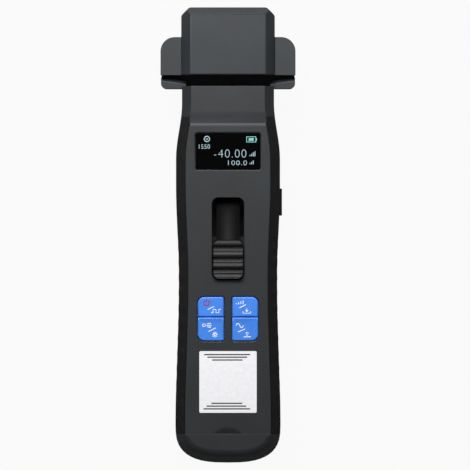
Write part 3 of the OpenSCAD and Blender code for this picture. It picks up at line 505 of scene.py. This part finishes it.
def rounded_plate(bm, x, y, z, corner):
    """Adds a flat plate over these ranges, with rounded corners, and returns its top faces"""
    verts = bmesh.ops.create_grid(bm, x_segments=1, y_segments=1, size=0.5)["verts"]
    bmesh.ops.scale(bm, vec=(x[1] - x[0], y[1] - y[0], 1), verts=verts)
    bmesh.ops.translate(bm, vec=((x[0] + x[1]) / 2, (y[0] + y[1]) / 2, z[0]), verts=verts)
    bmesh.ops.bevel(
        bm, geom=verts, offset=corner, offset_type="OFFSET", segments=8, profile=0.5,
        affect="VERTICES", clamp_overlap=False, material=-1,
    )
    faces = []
    for face in bm.faces:
        at = face.calc_center_median()
        if abs(at.z - z[0]) < SAME and x[0] < at.x < x[1] and y[0] < at.y < y[1]:
            faces.append(face)
    raised = bmesh.ops.extrude_face_region(bm, geom=faces)
    bmesh.ops.translate(bm, vec=(0, 0, z[1] - z[0]),
                        verts=[item for item in raised["geom"] if isinstance(item, bmesh.types.BMVert)])
    bmesh.ops.recalc_face_normals(bm, faces=bm.faces)
    return [item for item in raised["geom"] if isinstance(item, bmesh.types.BMFace)]


def mesh_of(curve):
    """The mesh of a curve or a line of text"""
    holder = bpy.data.objects.new(curve.name, curve)
    bpy.context.scene.collection.objects.link(holder)
    mesh = bpy.data.meshes.new_from_object(holder)
    bpy.data.objects.remove(holder)
    return mesh


def taken(mesh):
    """Moves a mesh into a bmesh"""
    bm = bmesh.new()
    bm.from_mesh(mesh)
    bpy.data.meshes.remove(mesh)
    return bm


def bead(name, strokes, width, height, place, material, body):
    """Raised line work: a stroke says if it is closed and lists its points, in metres from the place"""
    curve = bpy.data.curves.new(name, "CURVE")
    curve.dimensions = "3D"
    curve.bevel_depth = width / 2
    curve.bevel_resolution = 2
    curve.use_fill_caps = True
    for closed, points in strokes:
        spline = curve.splines.new("POLY")
        spline.points.add(len(points) - 1)
        for point, at in zip(spline.points, points):
            point.co = (at[0], at[1], 0, 1)
        spline.use_cyclic_u = closed
    mesh = mesh_of(curve)
    mesh.transform(Matrix.Translation(place) @ Matrix.Diagonal((1, 1, 2 * height / width, 1)))
    piece(taken(mesh), name, material, body)


def digits(name, text, place, height, width, weight, material, body):
    """A line of plain numbers that starts at its place and fills the width"""
    rise, thick = 0.02, 0.00006
    curve = bpy.data.curves.new(name, "FONT")
    curve.body = text
    curve.size = 1.0
    curve.extrude = rise
    curve.offset = weight
    curve.space_character = 1.12
    mesh = mesh_of(curve)
    corners = [vert.co for vert in mesh.vertices]
    low = Vector((min(c.x for c in corners), min(c.y for c in corners), 0))
    high = Vector((max(c.x for c in corners), max(c.y for c in corners), 0))
    grow = Matrix.Diagonal((width / (high.x - low.x), height / (high.y - low.y), thick / (2 * rise), 1))
    mesh.transform(Matrix.Translation(place) @ grow @ Matrix.Translation(-low))
    piece(taken(mesh), name, material, body)


def arc(radius, start, end, steps):
    """Points of an arc round the middle, from one angle in degrees to another"""
    turns = [math.radians(start + (end - start) * i / steps) for i in range(steps + 1)]
    return [(radius * math.cos(t), radius * math.sin(t)) for t in turns]


def photo_x(pixel):
    """X of a pixel of the photograph"""
    return (pixel - MIDDLE_X) * PIXEL


def photo_y(pixel):
    """Y of a pixel of the photograph"""
    return (MIDDLE_Y - pixel) * PIXEL


class TESTER_OT_case(bpy.types.Operator):
    """Front and rear halves of the case"""

    bl_idname = "tester.case"
    bl_label = "Case"

    def execute(self, context):
        sizes, colours = context.scene.tester_sizes, context.scene.tester_colours
        shell = moulded("case plastic", colours.case)
        front = copy_of("front_shell")

        def outer(at, edge):
            """Edges between the flanks, the bands and the face, apart from the openings in them"""
            if at.z > SHOULDER_Z and abs(at.x) < FACE_X and SEAM_Y < at.y < SLOT_Y:
                return False
            by_seat = at.x > SEAT_X and within(at.y, SEAT_Y)
            by_scoop = abs(at.x) < SCOOP_X and at.y < SCOOP_Y
            in_reach = at.z > SHOULDER_Z or abs(at.x) > SIDE_X
            return in_reach and not by_seat and not by_scoop and not fine(at, edge)

        def fine(at, edge):
            """Edges of the lower wings and of the seam to the cap"""
            seam = at.y < SEAM_Y and at.z > WING_Z and abs(at.x) > SCOOP_X
            return seam or at.y > HEAD_Y and at.z > SLOT_Z

        def rims(at, edge):
            """Rims of the slot of the slider and of the keys"""
            in_reach = abs(at.x) < FACE_X and SCOOP_Y < at.y < SLOT_Y
            return in_face(edge) and in_reach and not window(at, edge)

        def window(at, edge):
            """Rim of the window, apart from its sill"""
            in_reach = abs(at.x) < WINDOW_X and within(at.y, WINDOW_Y)
            return in_face(edge) and in_reach and not sill(at, edge)

        def sill(at, edge):
            """Rim of the window on the side of the slider"""
            return in_face(edge) and abs(at.x) < WINDOW_X and within(at.y, SILL_Y)

        rounded(front, sizes.window_round * 0.5, 3, sill, 50)
        rounded(front, sizes.window_round, 5, window)
        rounded(front, sizes.rim_round, 2, rims)
        rounded(front, sizes.wing_round, 2, fine)
        rounded(front, sizes.case_round, 3, outer)
        piece(front, "front_case", shell, "housing", ["front_shell"], smooth=26)
        rear = copy_of("rear_shell")

        def rear_outer(at, edge):
            """Edges of both flanks, and of the head above its foot"""
            return at.y > HEAD_Y and at.z > FOOT_Z or abs(at.x) > SIDE_X

        rounded(rear, sizes.rim_round, 2, rear_outer)
        piece(rear, "rear_case", shell, "housing", ["rear_shell"])
        return {"FINISHED"}


class TESTER_OT_hood(bpy.types.Operator):
    """Hood over the sensing head, with its wings"""

    bl_idname = "tester.hood"
    bl_label = "Hood"

    def execute(self, context):
        sizes, colours = context.scene.tester_sizes, context.scene.tester_colours
        hood = copy_of("hood")

        def wings(at, edge):
            """Edges of the upper wings"""
            return at.z > SLOT_Z and abs(at.x) > WING_X

        def brow(at, edge):
            """Edge of the hood's face at its outer end"""
            return in_face(edge) and at.y > HOOD_Y

        def block(at, edge):
            """Edges of the hood between its wings"""
            between = at.z > SLOT_Z and abs(at.x) < WING_X
            return between and (at.z > WING_Z or at.y > HOOD_Y) and not brow(at, edge)

        rounded(hood, sizes.wing_round, 2, wings, 50)
        rounded(hood, sizes.rim_round, 2, brow, 20)
        rounded(hood, sizes.case_round, 3, block)
        # The hood's plastic is the case colour made paler: painted light, in place of the stronger light of
        # the head lamps on the hood
        material = moulded("hood plastic", tint(colours.case, 1.2))
        piece(hood, "head_hood", material, "housing", ["hood"])
        return {"FINISHED"}


class TESTER_OT_grips(bpy.types.Operator):
    """Rubber grips along both sides, with shallow finger scallops"""

    bl_idname = "tester.grips"
    bl_label = "Grips"

    def execute(self, context):
        sizes, colours = context.scene.tester_sizes, context.scene.tester_colours
        material = rubber("grip rubber", colours.grip)
        for side in ("left", "right"):
            grip = copy_of("grip_" + side)
            self.scallop(grip, sizes)
            piece(grip, "rubber_grip_" + side, material, "housing", ["grip_" + side], smooth=30)
        return {"FINISHED"}

    def scallop(self, grip, sizes):
        """Waves along the grip that are deepest on its slope and fade out below it and at the ends"""
        low, high = -0.080, 0.002
        fade = 0.01
        inner_x = 0.0222
        side_share = 0.35
        foot, slope_foot, slope_middle, slope_top = 0.0085, 0.0285, 0.0308, 0.0326
        steps = round((high - low) / (sizes.scallop_pitch / 8))
        for i in range(steps + 1):
            cut(grip, (0, low + (high - low) * i / steps, 0), (0, 1, 0))
        for z in (0.0095, 0.012, 0.026, slope_foot, 0.030, 0.0313, slope_top):
            cut(grip, (0, 0, z), (0, 0, 1))
        for vert in grip.verts:
            if not low < vert.co.y < high or abs(vert.co.x) < inner_x and vert.co.z < slope_foot:
                continue
            side = min(side_share, max(0.0, (vert.co.z - foot) / fade))
            slope = max(0.0, 1.0 - abs(vert.co.z - slope_middle) / 0.0027)
            across = max(side * (vert.co.z < slope_top), slope)
            ends = min(1.0, (vert.co.y - low) / fade, (high - vert.co.y) / fade)
            wave = 0.5 - 0.5 * math.cos(2 * math.pi * (vert.co.y - low) / sizes.scallop_pitch)
            sink = sizes.scallop_depth * across * ends * wave
            vert.co.x -= math.copysign(sink, vert.co.x)


class TESTER_OT_cap(bpy.types.Operator):
    """Hinged cap over the tail"""

    bl_idname = "tester.cap"
    bl_label = "End cap"

    def execute(self, context):
        sizes, colours = context.scene.tester_sizes, context.scene.tester_colours
        cap = copy_of("end_cap")
        flank_x, flank_z = 0.0200, 0.012
        side_x, side_y, side_z = 0.0195, -0.0979, 0.010

        def face_rim(at, edge):
            """Edge between the cap's face and its slope"""
            return in_face(edge) and at.y < CAP_FACE_Y

        def seam(at, edge):
            """Edges of the face and of the flanks on the side of the case"""
            return at.y > CAP_FACE_Y and at.z > flank_z and (at.z > FACE_Z or abs(at.x) > flank_x)

        rounded(cap, sizes.cap_round, 6, face_rim, 20)
        rounded(cap, sizes.wing_round, 2, seam, 50)
        for vert in cap.verts:
            if abs(vert.co.x) > side_x and vert.co.y > side_y and vert.co.z > side_z:
                vert.co.y += sizes.seam_close
        piece(cap, "tail_cap", moulded("cap plastic", colours.case), "cap", ["end_cap"])
        return {"FINISHED"}


class TESTER_OT_side_cover(bpy.types.Operator):
    """Cover of the charging socket on the right side"""

    bl_idname = "tester.side_cover"
    bl_label = "Side cover"

    def execute(self, context):
        sizes, colours = context.scene.tester_sizes, context.scene.tester_colours
        cover = copy_of("port_cover")
        rounded(cover, sizes.rim_round, 2, lambda at, edge: at.x > COVER_X)
        piece(cover, "socket_cover", rubber("cover rubber", colours.grip), "cover", ["port_cover"])
        return {"FINISHED"}


class TESTER_OT_display(bpy.types.Operator):
    """Window, display and what it shows"""

    bl_idname = "tester.display"
    bl_label = "Display"

    def execute(self, context):
        colours = context.scene.tester_colours
        window = copy_of("display_window")
        piece(window, "window_pane", clear_window("window"), "housing", ["display_window"])
        finish_nodes(panel_glass("unlit display"), "display_panel")
        glow = lit("lit dots", colours.glow)
        cell_glow = lit("lit battery dots", colours.cell_glow)
        lift = 0.00001
        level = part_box("display_panel")[1].z + lift
        self.line("small_number", "1550", 198.9, 209.9, 144.3, 148.8, level, glow, -0.004)
        self.line("main_number", "-40.00", 214.0, 246.2, 149.5, 157.5, level, glow, -0.024)
        self.line("second_number", "100.0", 228.1, 246.9, 160.5, 165.1, level, glow, -0.014)
        ring = [(True, arc(2.7 * PIXEL, 0, 345, 23)),
                (False, [(-0.0005, 0.0002), (0, -0.0004), (0.0005, 0.0003)])]
        self.drawn("ring_sign", ring, 206.9, 139.0, level, glow)
        w, h = 4.6 * PIXEL, 2.6 * PIXEL
        tip, inner, apart = w + 0.0003, w * 0.55, h * 0.35
        cell = [(True, [(-w, -h), (w, -h), (w, h), (-w, h)]), (False, [(tip, -h / 2), (tip, h / 2)])]
        cell += [(False, [(-inner, y), (inner, y)]) for y in (0, apart, -apart)]
        self.drawn("battery_sign", cell, 251.2, 139.4, level, cell_glow)
        foot, step, rise = -0.0009, 0.0008, 0.0006
        bars = [(False, [(i * step, foot), (i * step, foot + rise * (i + 1))]) for i in range(4)]
        self.drawn("level_sign", bars, 250.0, 154.4, level, glow)
        self.drawn("second_level_sign", bars[:3], 250.0, 162.4, level, glow)
        return {"FINISHED"}

    def line(self, name, text, x0, x1, y0, y1, level, glow, weight):
        """Numbers over a range of pixels"""
        place = (photo_x(x0), photo_y(y1), level)
        height, width = photo_y(y0) - photo_y(y1), photo_x(x1) - photo_x(x0)
        digits(name, text, place, height, width, weight, glow, "housing")

    def drawn(self, name, strokes, x, y, level, glow):
        """A sign round a pixel"""
        place = (photo_x(x), photo_y(y), level)
        width = 0.00038
        bead(name, strokes, width, MARK_HEIGHT, place, glow, "housing")


class TESTER_OT_slider(bpy.types.Operator):
    """Ribbed thumb slider and its floor"""

    bl_idname = "tester.slider"
    bl_label = "Slider"

    def execute(self, context):
        sizes, colours = context.scene.tester_sizes, context.scene.tester_colours
        low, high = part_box("slide_knob")
        self.knob(low, high, sizes, moulded("knob plastic", tint(colours.trim, 0.6), roughness=0.55))
        self.track(painted_shade_plastic("slider floor", colours.trim), sizes)
        return {"FINISHED"}

    def track(self, material, sizes):
        """Floor of the slot as packed, sinking towards its head end"""
        bm = copy_of("slide_track")
        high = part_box("slide_track")[1]
        floor = high.z - 0.0021
        half_width = 0.0062
        dip_start, dip_length = high.y - 0.0075, 0.0055

        def on_floor(at, depth):
            """True for a place in the floor or no deeper under it than this"""
            return floor - depth < at.z < floor + 0.0001 and abs(at.x) < half_width

        rounded(bm, 0.0003, 3, lambda at, edge: on_floor(at, 0.0007), 20)
        for i in range(7):
            cut(bm, (0, dip_start + MM * i, 0), (0, 1, 0))
        for vert in bm.verts:
            if on_floor(vert.co, 0.0010) and vert.co.y > dip_start:
                along = min(1.0, (vert.co.y - dip_start) / dip_length)
                vert.co.z -= sizes.floor_dip * along * along
        piece(bm, "slider_floor", material, "housing", ["slide_track"], smooth=50)

    def knob(self, low, high, sizes, material):
        """Skirt and legs as packed, under a top with four ridges that step up towards the tail"""
        bm = copy_of("slide_knob")
        skirt_top, lap = 0.0334, 0.0001
        cut(bm, (0, 0, skirt_top), (0, 0, 1), drop_outer=True)
        levels = (skirt_top - lap, high.z)
        top = rounded_plate(bm, (low.x, high.x), (low.y, high.y), levels, sizes.knob_corner)
        for width, drop in ((0.00025, 0.0003), (0.00025, 0.00012), (0.0003, 0.00004)):
            outer = {vert for face in top for vert in face.verts}
            bmesh.ops.inset_region(bm, faces=top, thickness=width, depth=0.0, use_even_offset=True)
            bmesh.ops.translate(bm, vec=(0, 0, -drop), verts=list(outer))
        self.ridges(bm, low, high, sizes)
        piece(bm, "thumb_knob", material, "slider", ["slide_knob"], smooth=50)

    def ridges(self, bm, low, high, sizes):
        """Cuts the knob at each place of its profile and sinks its top there"""
        span = high.y - low.y
        for share, _ in self.profile():
            cut(bm, (0, high.y - share * span, 0), (0, 1, 0))
        for vert in bm.verts:
            if vert.co.z > high.z - TOP_DEPTH:
                vert.co.z -= self.depth((high.y - vert.co.y) / span) * sizes.ridge_depth

    def profile(self):
        """Places along the knob from its head end, as shares, and how deep its top lies there"""
        points = [(0.0, 0.2), (0.04, 0.09), (0.08, 0.015), (0.10, 0.0)]
        for start in (0.175, 0.468, 0.752):
            points += [(start + at, deep) for at, deep in (
                (-0.06, 0.02), (-0.038, 0.10), (-0.018, 0.24), (-0.002, 0.5), (0.014, 0.92), (0.026, 1.0),
                (0.044, 1.0), (0.066, 0.62), (0.094, 0.40), (0.116, 0.38), (0.128, 0.52), (0.145, 0.52),
                (0.170, 0.14), (0.193, 0.02), (0.213, 0.0))]
        return points + [(0.97, 0.0), (1.0, 0.25)]

    def depth(self, share):
        """How deep the top lies at a share of the knob's length"""
        points = self.profile()
        for (a, deep_a), (b, deep_b) in zip(points, points[1:]):
            if a <= share <= b:
                return deep_a + (deep_b - deep_a) * (share - a) / (b - a)
        return 0.0


class TESTER_OT_keys(bpy.types.Operator):
    """Four keys with their marks"""

    bl_idname = "tester.keys"
    bl_label = "Keys"

    def execute(self, context):
        sizes, colours = context.scene.tester_sizes, context.scene.tester_colours
        blue = key_rubber("key rubber", colours.key)
        white = print_film("key print", colours.mark, 0.5)
        red = print_film("power print", colours.power, 0.5)
        for row in ("upper", "lower"):
            for side in ("left", "right"):
                name = row + "_" + side
                key = copy_of("key_" + name)
                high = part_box("key_" + name)[1]
                rounded(key, sizes.key_round, 4, lambda at, edge: at.z > high.z - TOP_DEPTH, 25)
                if row == "lower":
                    self.crest(key, high, sizes)
                piece(key, "key_cap_" + name, blue, name, ["key_" + name])
        self.marks(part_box("key_upper_left")[1].z, sizes, white, red)
        return {"FINISHED"}

    def crest(self, key, high, sizes):
        """Leaves a crest beside the split and lets the rest of the key's face lie lower"""
        gap = 0.0007
        crest_y = high.y - gap
        cut(key, (0, crest_y - sizes.crest_width, 0), (0, 1, 0))
        for vert in key.verts:
            if vert.co.z > high.z - sizes.key_round * 1.2:
                along = min(1.0, max(0.0, (crest_y - vert.co.y) / sizes.crest_width))
                vert.co.z -= sizes.crest_drop * along

    def marks(self, top, sizes, white, red):
        """Power sign, slashes and plain signs in place of the words, each over a range of pixels"""
        slash = [[(-1, -1), (1, 1)]]
        wave = [[(-1.0, -1.0), (-0.6, -1.0), (-0.6, 1.0), (0.0, 1.0),
                 (0.0, -1.0), (0.6, -1.0), (0.6, 1.0), (1.0, 1.0)]]
        bars = [[(-0.9 + 0.6 * i, -1.0), (-0.9 + 0.6 * i, -0.4 + 0.45 * i)] for i in range(4)]
        arrow = [[(0.0, 1.0), (0.0, -0.3)], [(-0.35, 0.2), (0.0, -0.3), (0.35, 0.2)],
                 [(-1.0, -0.2), (-1.0, -1.0), (1.0, -1.0), (1.0, -0.2)]]
        beam = [[(-1.0, -0.5), (-1.0, 0.5), (-0.4, 0.5), (-0.4, -0.5), (-1.0, -0.5)],
                [(-0.2, 0.0), (1.0, 0.0)], [(0.0, 0.7), (0.9, 0.9)], [(0.0, -0.7), (0.9, -0.9)]]
        lamp = [arc(0.45, 0, 360, 14)] + [
            [(0.62 * math.cos(t), 0.7 * math.sin(t)), (0.95 * math.cos(t), 1.05 * math.sin(t))]
            for t in (math.radians(45 * i) for i in range(8))]
        sine = [[(-1.0 + 0.125 * i, 0.9 * math.sin(math.pi * 0.125 * i)) for i in range(17)]]
        level = [[(-1.0, -1.0), (1.0, -1.0)], [(-0.4, 0.9), (0.4, 0.9), (0.0, -0.5), (-0.4, 0.9)]]
        power = [arc(0.8, 125, 415, 20), [(0.0, 0.15), (0.0, 1.05)]]
        rows = [
            ("power_sign", "upper_left", power, (203.2, 209.8, 299.6, 306.2)),
            ("slash_upper_left", "upper_left", slash, (207.6, 214.3, 306.5, 309.6)),
            ("pulse_sign", "upper_left", wave, (211.2, 220.7, 309.4, 312.8)),
            ("bars_sign", "upper_right", bars, (236.0, 243.5, 300.3, 304.2)),
            ("slash_upper_right", "upper_right", slash, (239.5, 246.0, 304.5, 307.9)),
            ("keep_sign", "upper_right", arrow, (243.0, 250.5, 308.6, 313.2)),
            ("beam_sign", "lower_left", beam, (202.6, 211.6, 322.9, 327.5)),
            ("slash_lower_left", "lower_left", slash, (208.5, 215.7, 328.0, 331.5)),
            ("lamp_sign", "lower_left", lamp, (212.2, 217.8, 331.9, 337.3)),
            ("wave_sign", "lower_right", sine, (236.0, 243.5, 323.2, 327.8)),
            ("slash_lower_right", "lower_right", slash, (238.0, 245.1, 329.0, 332.0)),
            ("level_mark", "lower_right", level, (243.8, 250.8, 332.5, 336.8)),
        ]
        for name, key, strokes, (x0, x1, y0, y1) in rows:
            wide = (photo_x(x1) - photo_x(x0)) / 2
            tall = (photo_y(y0) - photo_y(y1)) / 2
            lines = [(False, [(x * wide, y * tall) for x, y in stroke]) for stroke in strokes]
            drop = sizes.crest_drop if key.startswith("lower") else 0.0
            place = (photo_x((x0 + x1) / 2), photo_y((y0 + y1) / 2), top - drop)
            material, width = white, sizes.mark_width
            if name == "power_sign":
                material, width = red, sizes.mark_width * 1.35
            bead(name, lines, width, MARK_HEIGHT, place, material, key)


class TESTER_OT_label(bpy.types.Operator):
    """Label below the keys, with its rule lines and no words"""

    bl_idname = "tester.label"
    bl_label = "Label"

    def execute(self, context):
        sizes, colours = context.scene.tester_sizes, context.scene.tester_colours
        film = print_film("label film", colours.paper)
        piece(copy_of("label_sticker"), "label_film", film, "housing", ["label_sticker"])
        ink = print_film("label ink", colours.ink)
        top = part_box("label_sticker")[1].z
        rules = [(354.55, 204.0, 250.1), (357.15, 207.4, 247.1), (359.95, 212.1, 242.5),
                 (403.25, 211.4, 242.3), (406.05, 206.6, 246.3), (408.8, 203.5, 250.1)]
        for i, (y, x0, x1) in enumerate(rules):
            half = (photo_x(x1) - photo_x(x0)) / 2
            place = (photo_x((x0 + x1) / 2), photo_y(y), top)
            stroke = (False, [(-half, 0), (half, 0)])
            bead("label_rule_%d" % (i + 1), [stroke], sizes.rule_width, RULE_HEIGHT, place, ink,
                 "housing")
        return {"FINISHED"}


class TESTER_OT_inside(bpy.types.Operator):
    """Finishes of the ports, boards, battery and other inner parts"""

    bl_idname = "tester.inside"
    bl_label = "Inside"

    def execute(self, context):
        colours = context.scene.tester_colours
        black = moulded("inner black plastic", colours.trim, roughness=0.4)
        white = moulded("bearing plastic", (0.70, 0.70, 0.67), roughness=0.4)
        green_board = board("circuit board", (0.010, 0.075, 0.030), (0.020, 0.13, 0.055))
        dark_board = board("black circuit board", (0.006, 0.007, 0.007), (0.010, 0.011, 0.011))
        finish_nodes(black, "display_holder", "anvil_block", "press_head", "key_header", "board_chips",
                     "buzzer", "port_plate", "slide_carriage")
        finish_nodes(white, "rod_guide")
        finish_nodes(foam("press pad foam"), "press_pad")
        finish_nodes(green_board, "sensor_board", "key_board")
        finish_nodes(dark_board, "main_board")
        finish_nodes(flex_film("ribbon film"), "display_flex", "sensor_flex")
        finish_nodes(cell_foil("battery foil"), "battery_pack")
        finish_nodes(insulation("lead insulation"), "battery_lead", "tail_leads")
        finish_nodes(lamp_resin("lamp resin"), "torch_led")
        finish_nodes(metal("turned brass", (0.60, 0.42, 0.16), (0.78, 0.60, 0.28)), "laser_module")
        finish_nodes(metal("plated steel", (0.48, 0.48, 0.50), (0.66, 0.66, 0.68)), "end_cap_pin",
                     "port_cover_pin", "carriage_screws", "detent_spring", "push_rods", "press_springs",
                     "photodiode_left", "photodiode_right", "key_domes", "board_screws", "usb_socket",
                     "laser_port", "meter_port", "meter_detector", "case_screws", "hood_screws")
        finish_nodes(key_rubber("mat rubber", colours.key), "keypad_mat")
        return {"FINISHED"}


class TESTER_OT_stage(bpy.types.Operator):
    """Pale floor, soft lamps and the camera"""

    bl_idname = "tester.stage"
    bl_label = "Stage"

    def execute(self, context):
        self.floor(context)
        self.lamp("head softbox", (-0.07, 0.40, 0.50), (0.42, 0.26), 5.5)
        self.lamp("head strip", (-0.05, 0.80, 0.13), (0.7, 0.16), 1.2)
        world = bpy.data.worlds.new("studio")
        world.use_nodes = True
        sky = world.node_tree.nodes["Background"].inputs
        sky["Color"].default_value = (1, 1, 1, 1)
        sky["Strength"].default_value = 0.16
        context.scene.world = world
        self.camera(context)
        context.scene.view_settings.view_transform = "Standard"
        return {"FINISHED"}

    def camera(self, context):
        """Camera high over the tester's face, so far off that the view is all but flat"""
        camera = bpy.data.cameras.new("camera")
        camera.lens = LENS
        camera.sensor_width = SENSOR
        camera.clip_end = 40
        eye = bpy.data.objects.new("camera", camera)
        distance = PHOTO_SIDE * PIXEL * LENS / SENSOR
        eye.location = ((PHOTO_SIDE / 2 - MIDDLE_X) * PIXEL, 0, TRUE_HEIGHT + distance)
        context.scene.collection.objects.link(eye)
        context.scene.camera = eye

    def floor(self, context):
        """Floor that the camera sees almost white, and that sends little light up to the tester"""
        sizes, colours = context.scene.tester_sizes, context.scene.tester_colours
        bm = bmesh.new()
        bmesh.ops.create_grid(bm, x_segments=1, y_segments=1, size=sizes.stage_width / 2)
        bmesh.ops.translate(bm, vec=(0, 0, -sizes.stage_drop), verts=bm.verts)
        f = Finish("floor")
        drift = f.noise(0.4, 2.0)
        matt = f.node("ShaderNodeBsdfDiffuse", {}, {
            "Color": f.blend(drift, tint(colours.floor, 0.98), tint(colours.floor, 1.02))})
        bright = f.node("ShaderNodeEmission", {}, {"Color": (1, 1, 1, 1), "Strength": 1.0})
        seen = f.node("ShaderNodeLightPath", out="Is Camera Ray")
        mirrored = f.node("ShaderNodeLightPath", out="Is Glossy Ray")
        through = f.node("ShaderNodeLightPath", out="Is Transmission Ray")
        bright_share = seen * 0.94 + mirrored * 0.06 + through * 0.9
        mixed = f.node("ShaderNodeMixShader", {}, {0: bright_share, 1: matt, 2: bright})
        mesh = bpy.data.meshes.new("floor")
        bm.to_mesh(mesh)
        bm.free()
        mesh.materials.append(f.done(mixed))
        ground = bpy.data.objects.new("floor", mesh)
        context.scene.collection.objects.link(ground)

    def lamp(self, name, place, size, power):
        """Lamp that points at the tester's face"""
        light = bpy.data.lights.new(name, "AREA")
        light.shape = "RECTANGLE"
        light.size, light.size_y = size
        light.energy = power
        made = bpy.data.objects.new(name, light)
        made.location = place
        target = Vector((0, 0, 0.03))
        made.rotation_euler = (target - Vector(place)).to_track_quat("-Z", "Y").to_euler()
        made.visible_camera = False
        bpy.context.scene.collection.objects.link(made)


STEPS = (
    TESTER_OT_case, TESTER_OT_hood, TESTER_OT_grips, TESTER_OT_cap, TESTER_OT_side_cover, TESTER_OT_display,
    TESTER_OT_slider, TESTER_OT_keys, TESTER_OT_label, TESTER_OT_inside, TESTER_OT_stage,
)


class VIEW3D_PT_tester(bpy.types.Panel):
    """Sizes, colours and steps of the tester"""

    bl_label = "Tester"
    bl_space_type = "VIEW_3D"
    bl_region_type = "UI"
    bl_category = "Tester"

    def draw(self, context):
        for group in (context.scene.tester_sizes, context.scene.tester_colours):
            for key in group.bl_rna.properties.keys():
                if key not in ("rna_type", "name"):
                    self.layout.prop(group, key)
        for step in STEPS:
            self.layout.operator(step.bl_idname)


CLASSES = (TesterSizes, TesterColours, *STEPS, VIEW3D_PT_tester)


def register():
    for item in CLASSES:
        bpy.utils.register_class(item)
    bpy.types.Scene.tester_sizes = bpy.props.PointerProperty(type=TesterSizes)
    bpy.types.Scene.tester_colours = bpy.props.PointerProperty(type=TesterColours)


def unregister():
    del bpy.types.Scene.tester_colours
    del bpy.types.Scene.tester_sizes
    for item in reversed(CLASSES):
        bpy.utils.unregister_class(item)


def main():
    register()
    bpy.ops.tester.case()
    bpy.ops.tester.hood()
    bpy.ops.tester.grips()
    bpy.ops.tester.cap()
    bpy.ops.tester.side_cover()
    bpy.ops.tester.display()
    bpy.ops.tester.slider()
    bpy.ops.tester.keys()
    bpy.ops.tester.label()
    bpy.ops.tester.inside()
    bpy.ops.tester.stage()


if __name__ == "__main__":
    main()
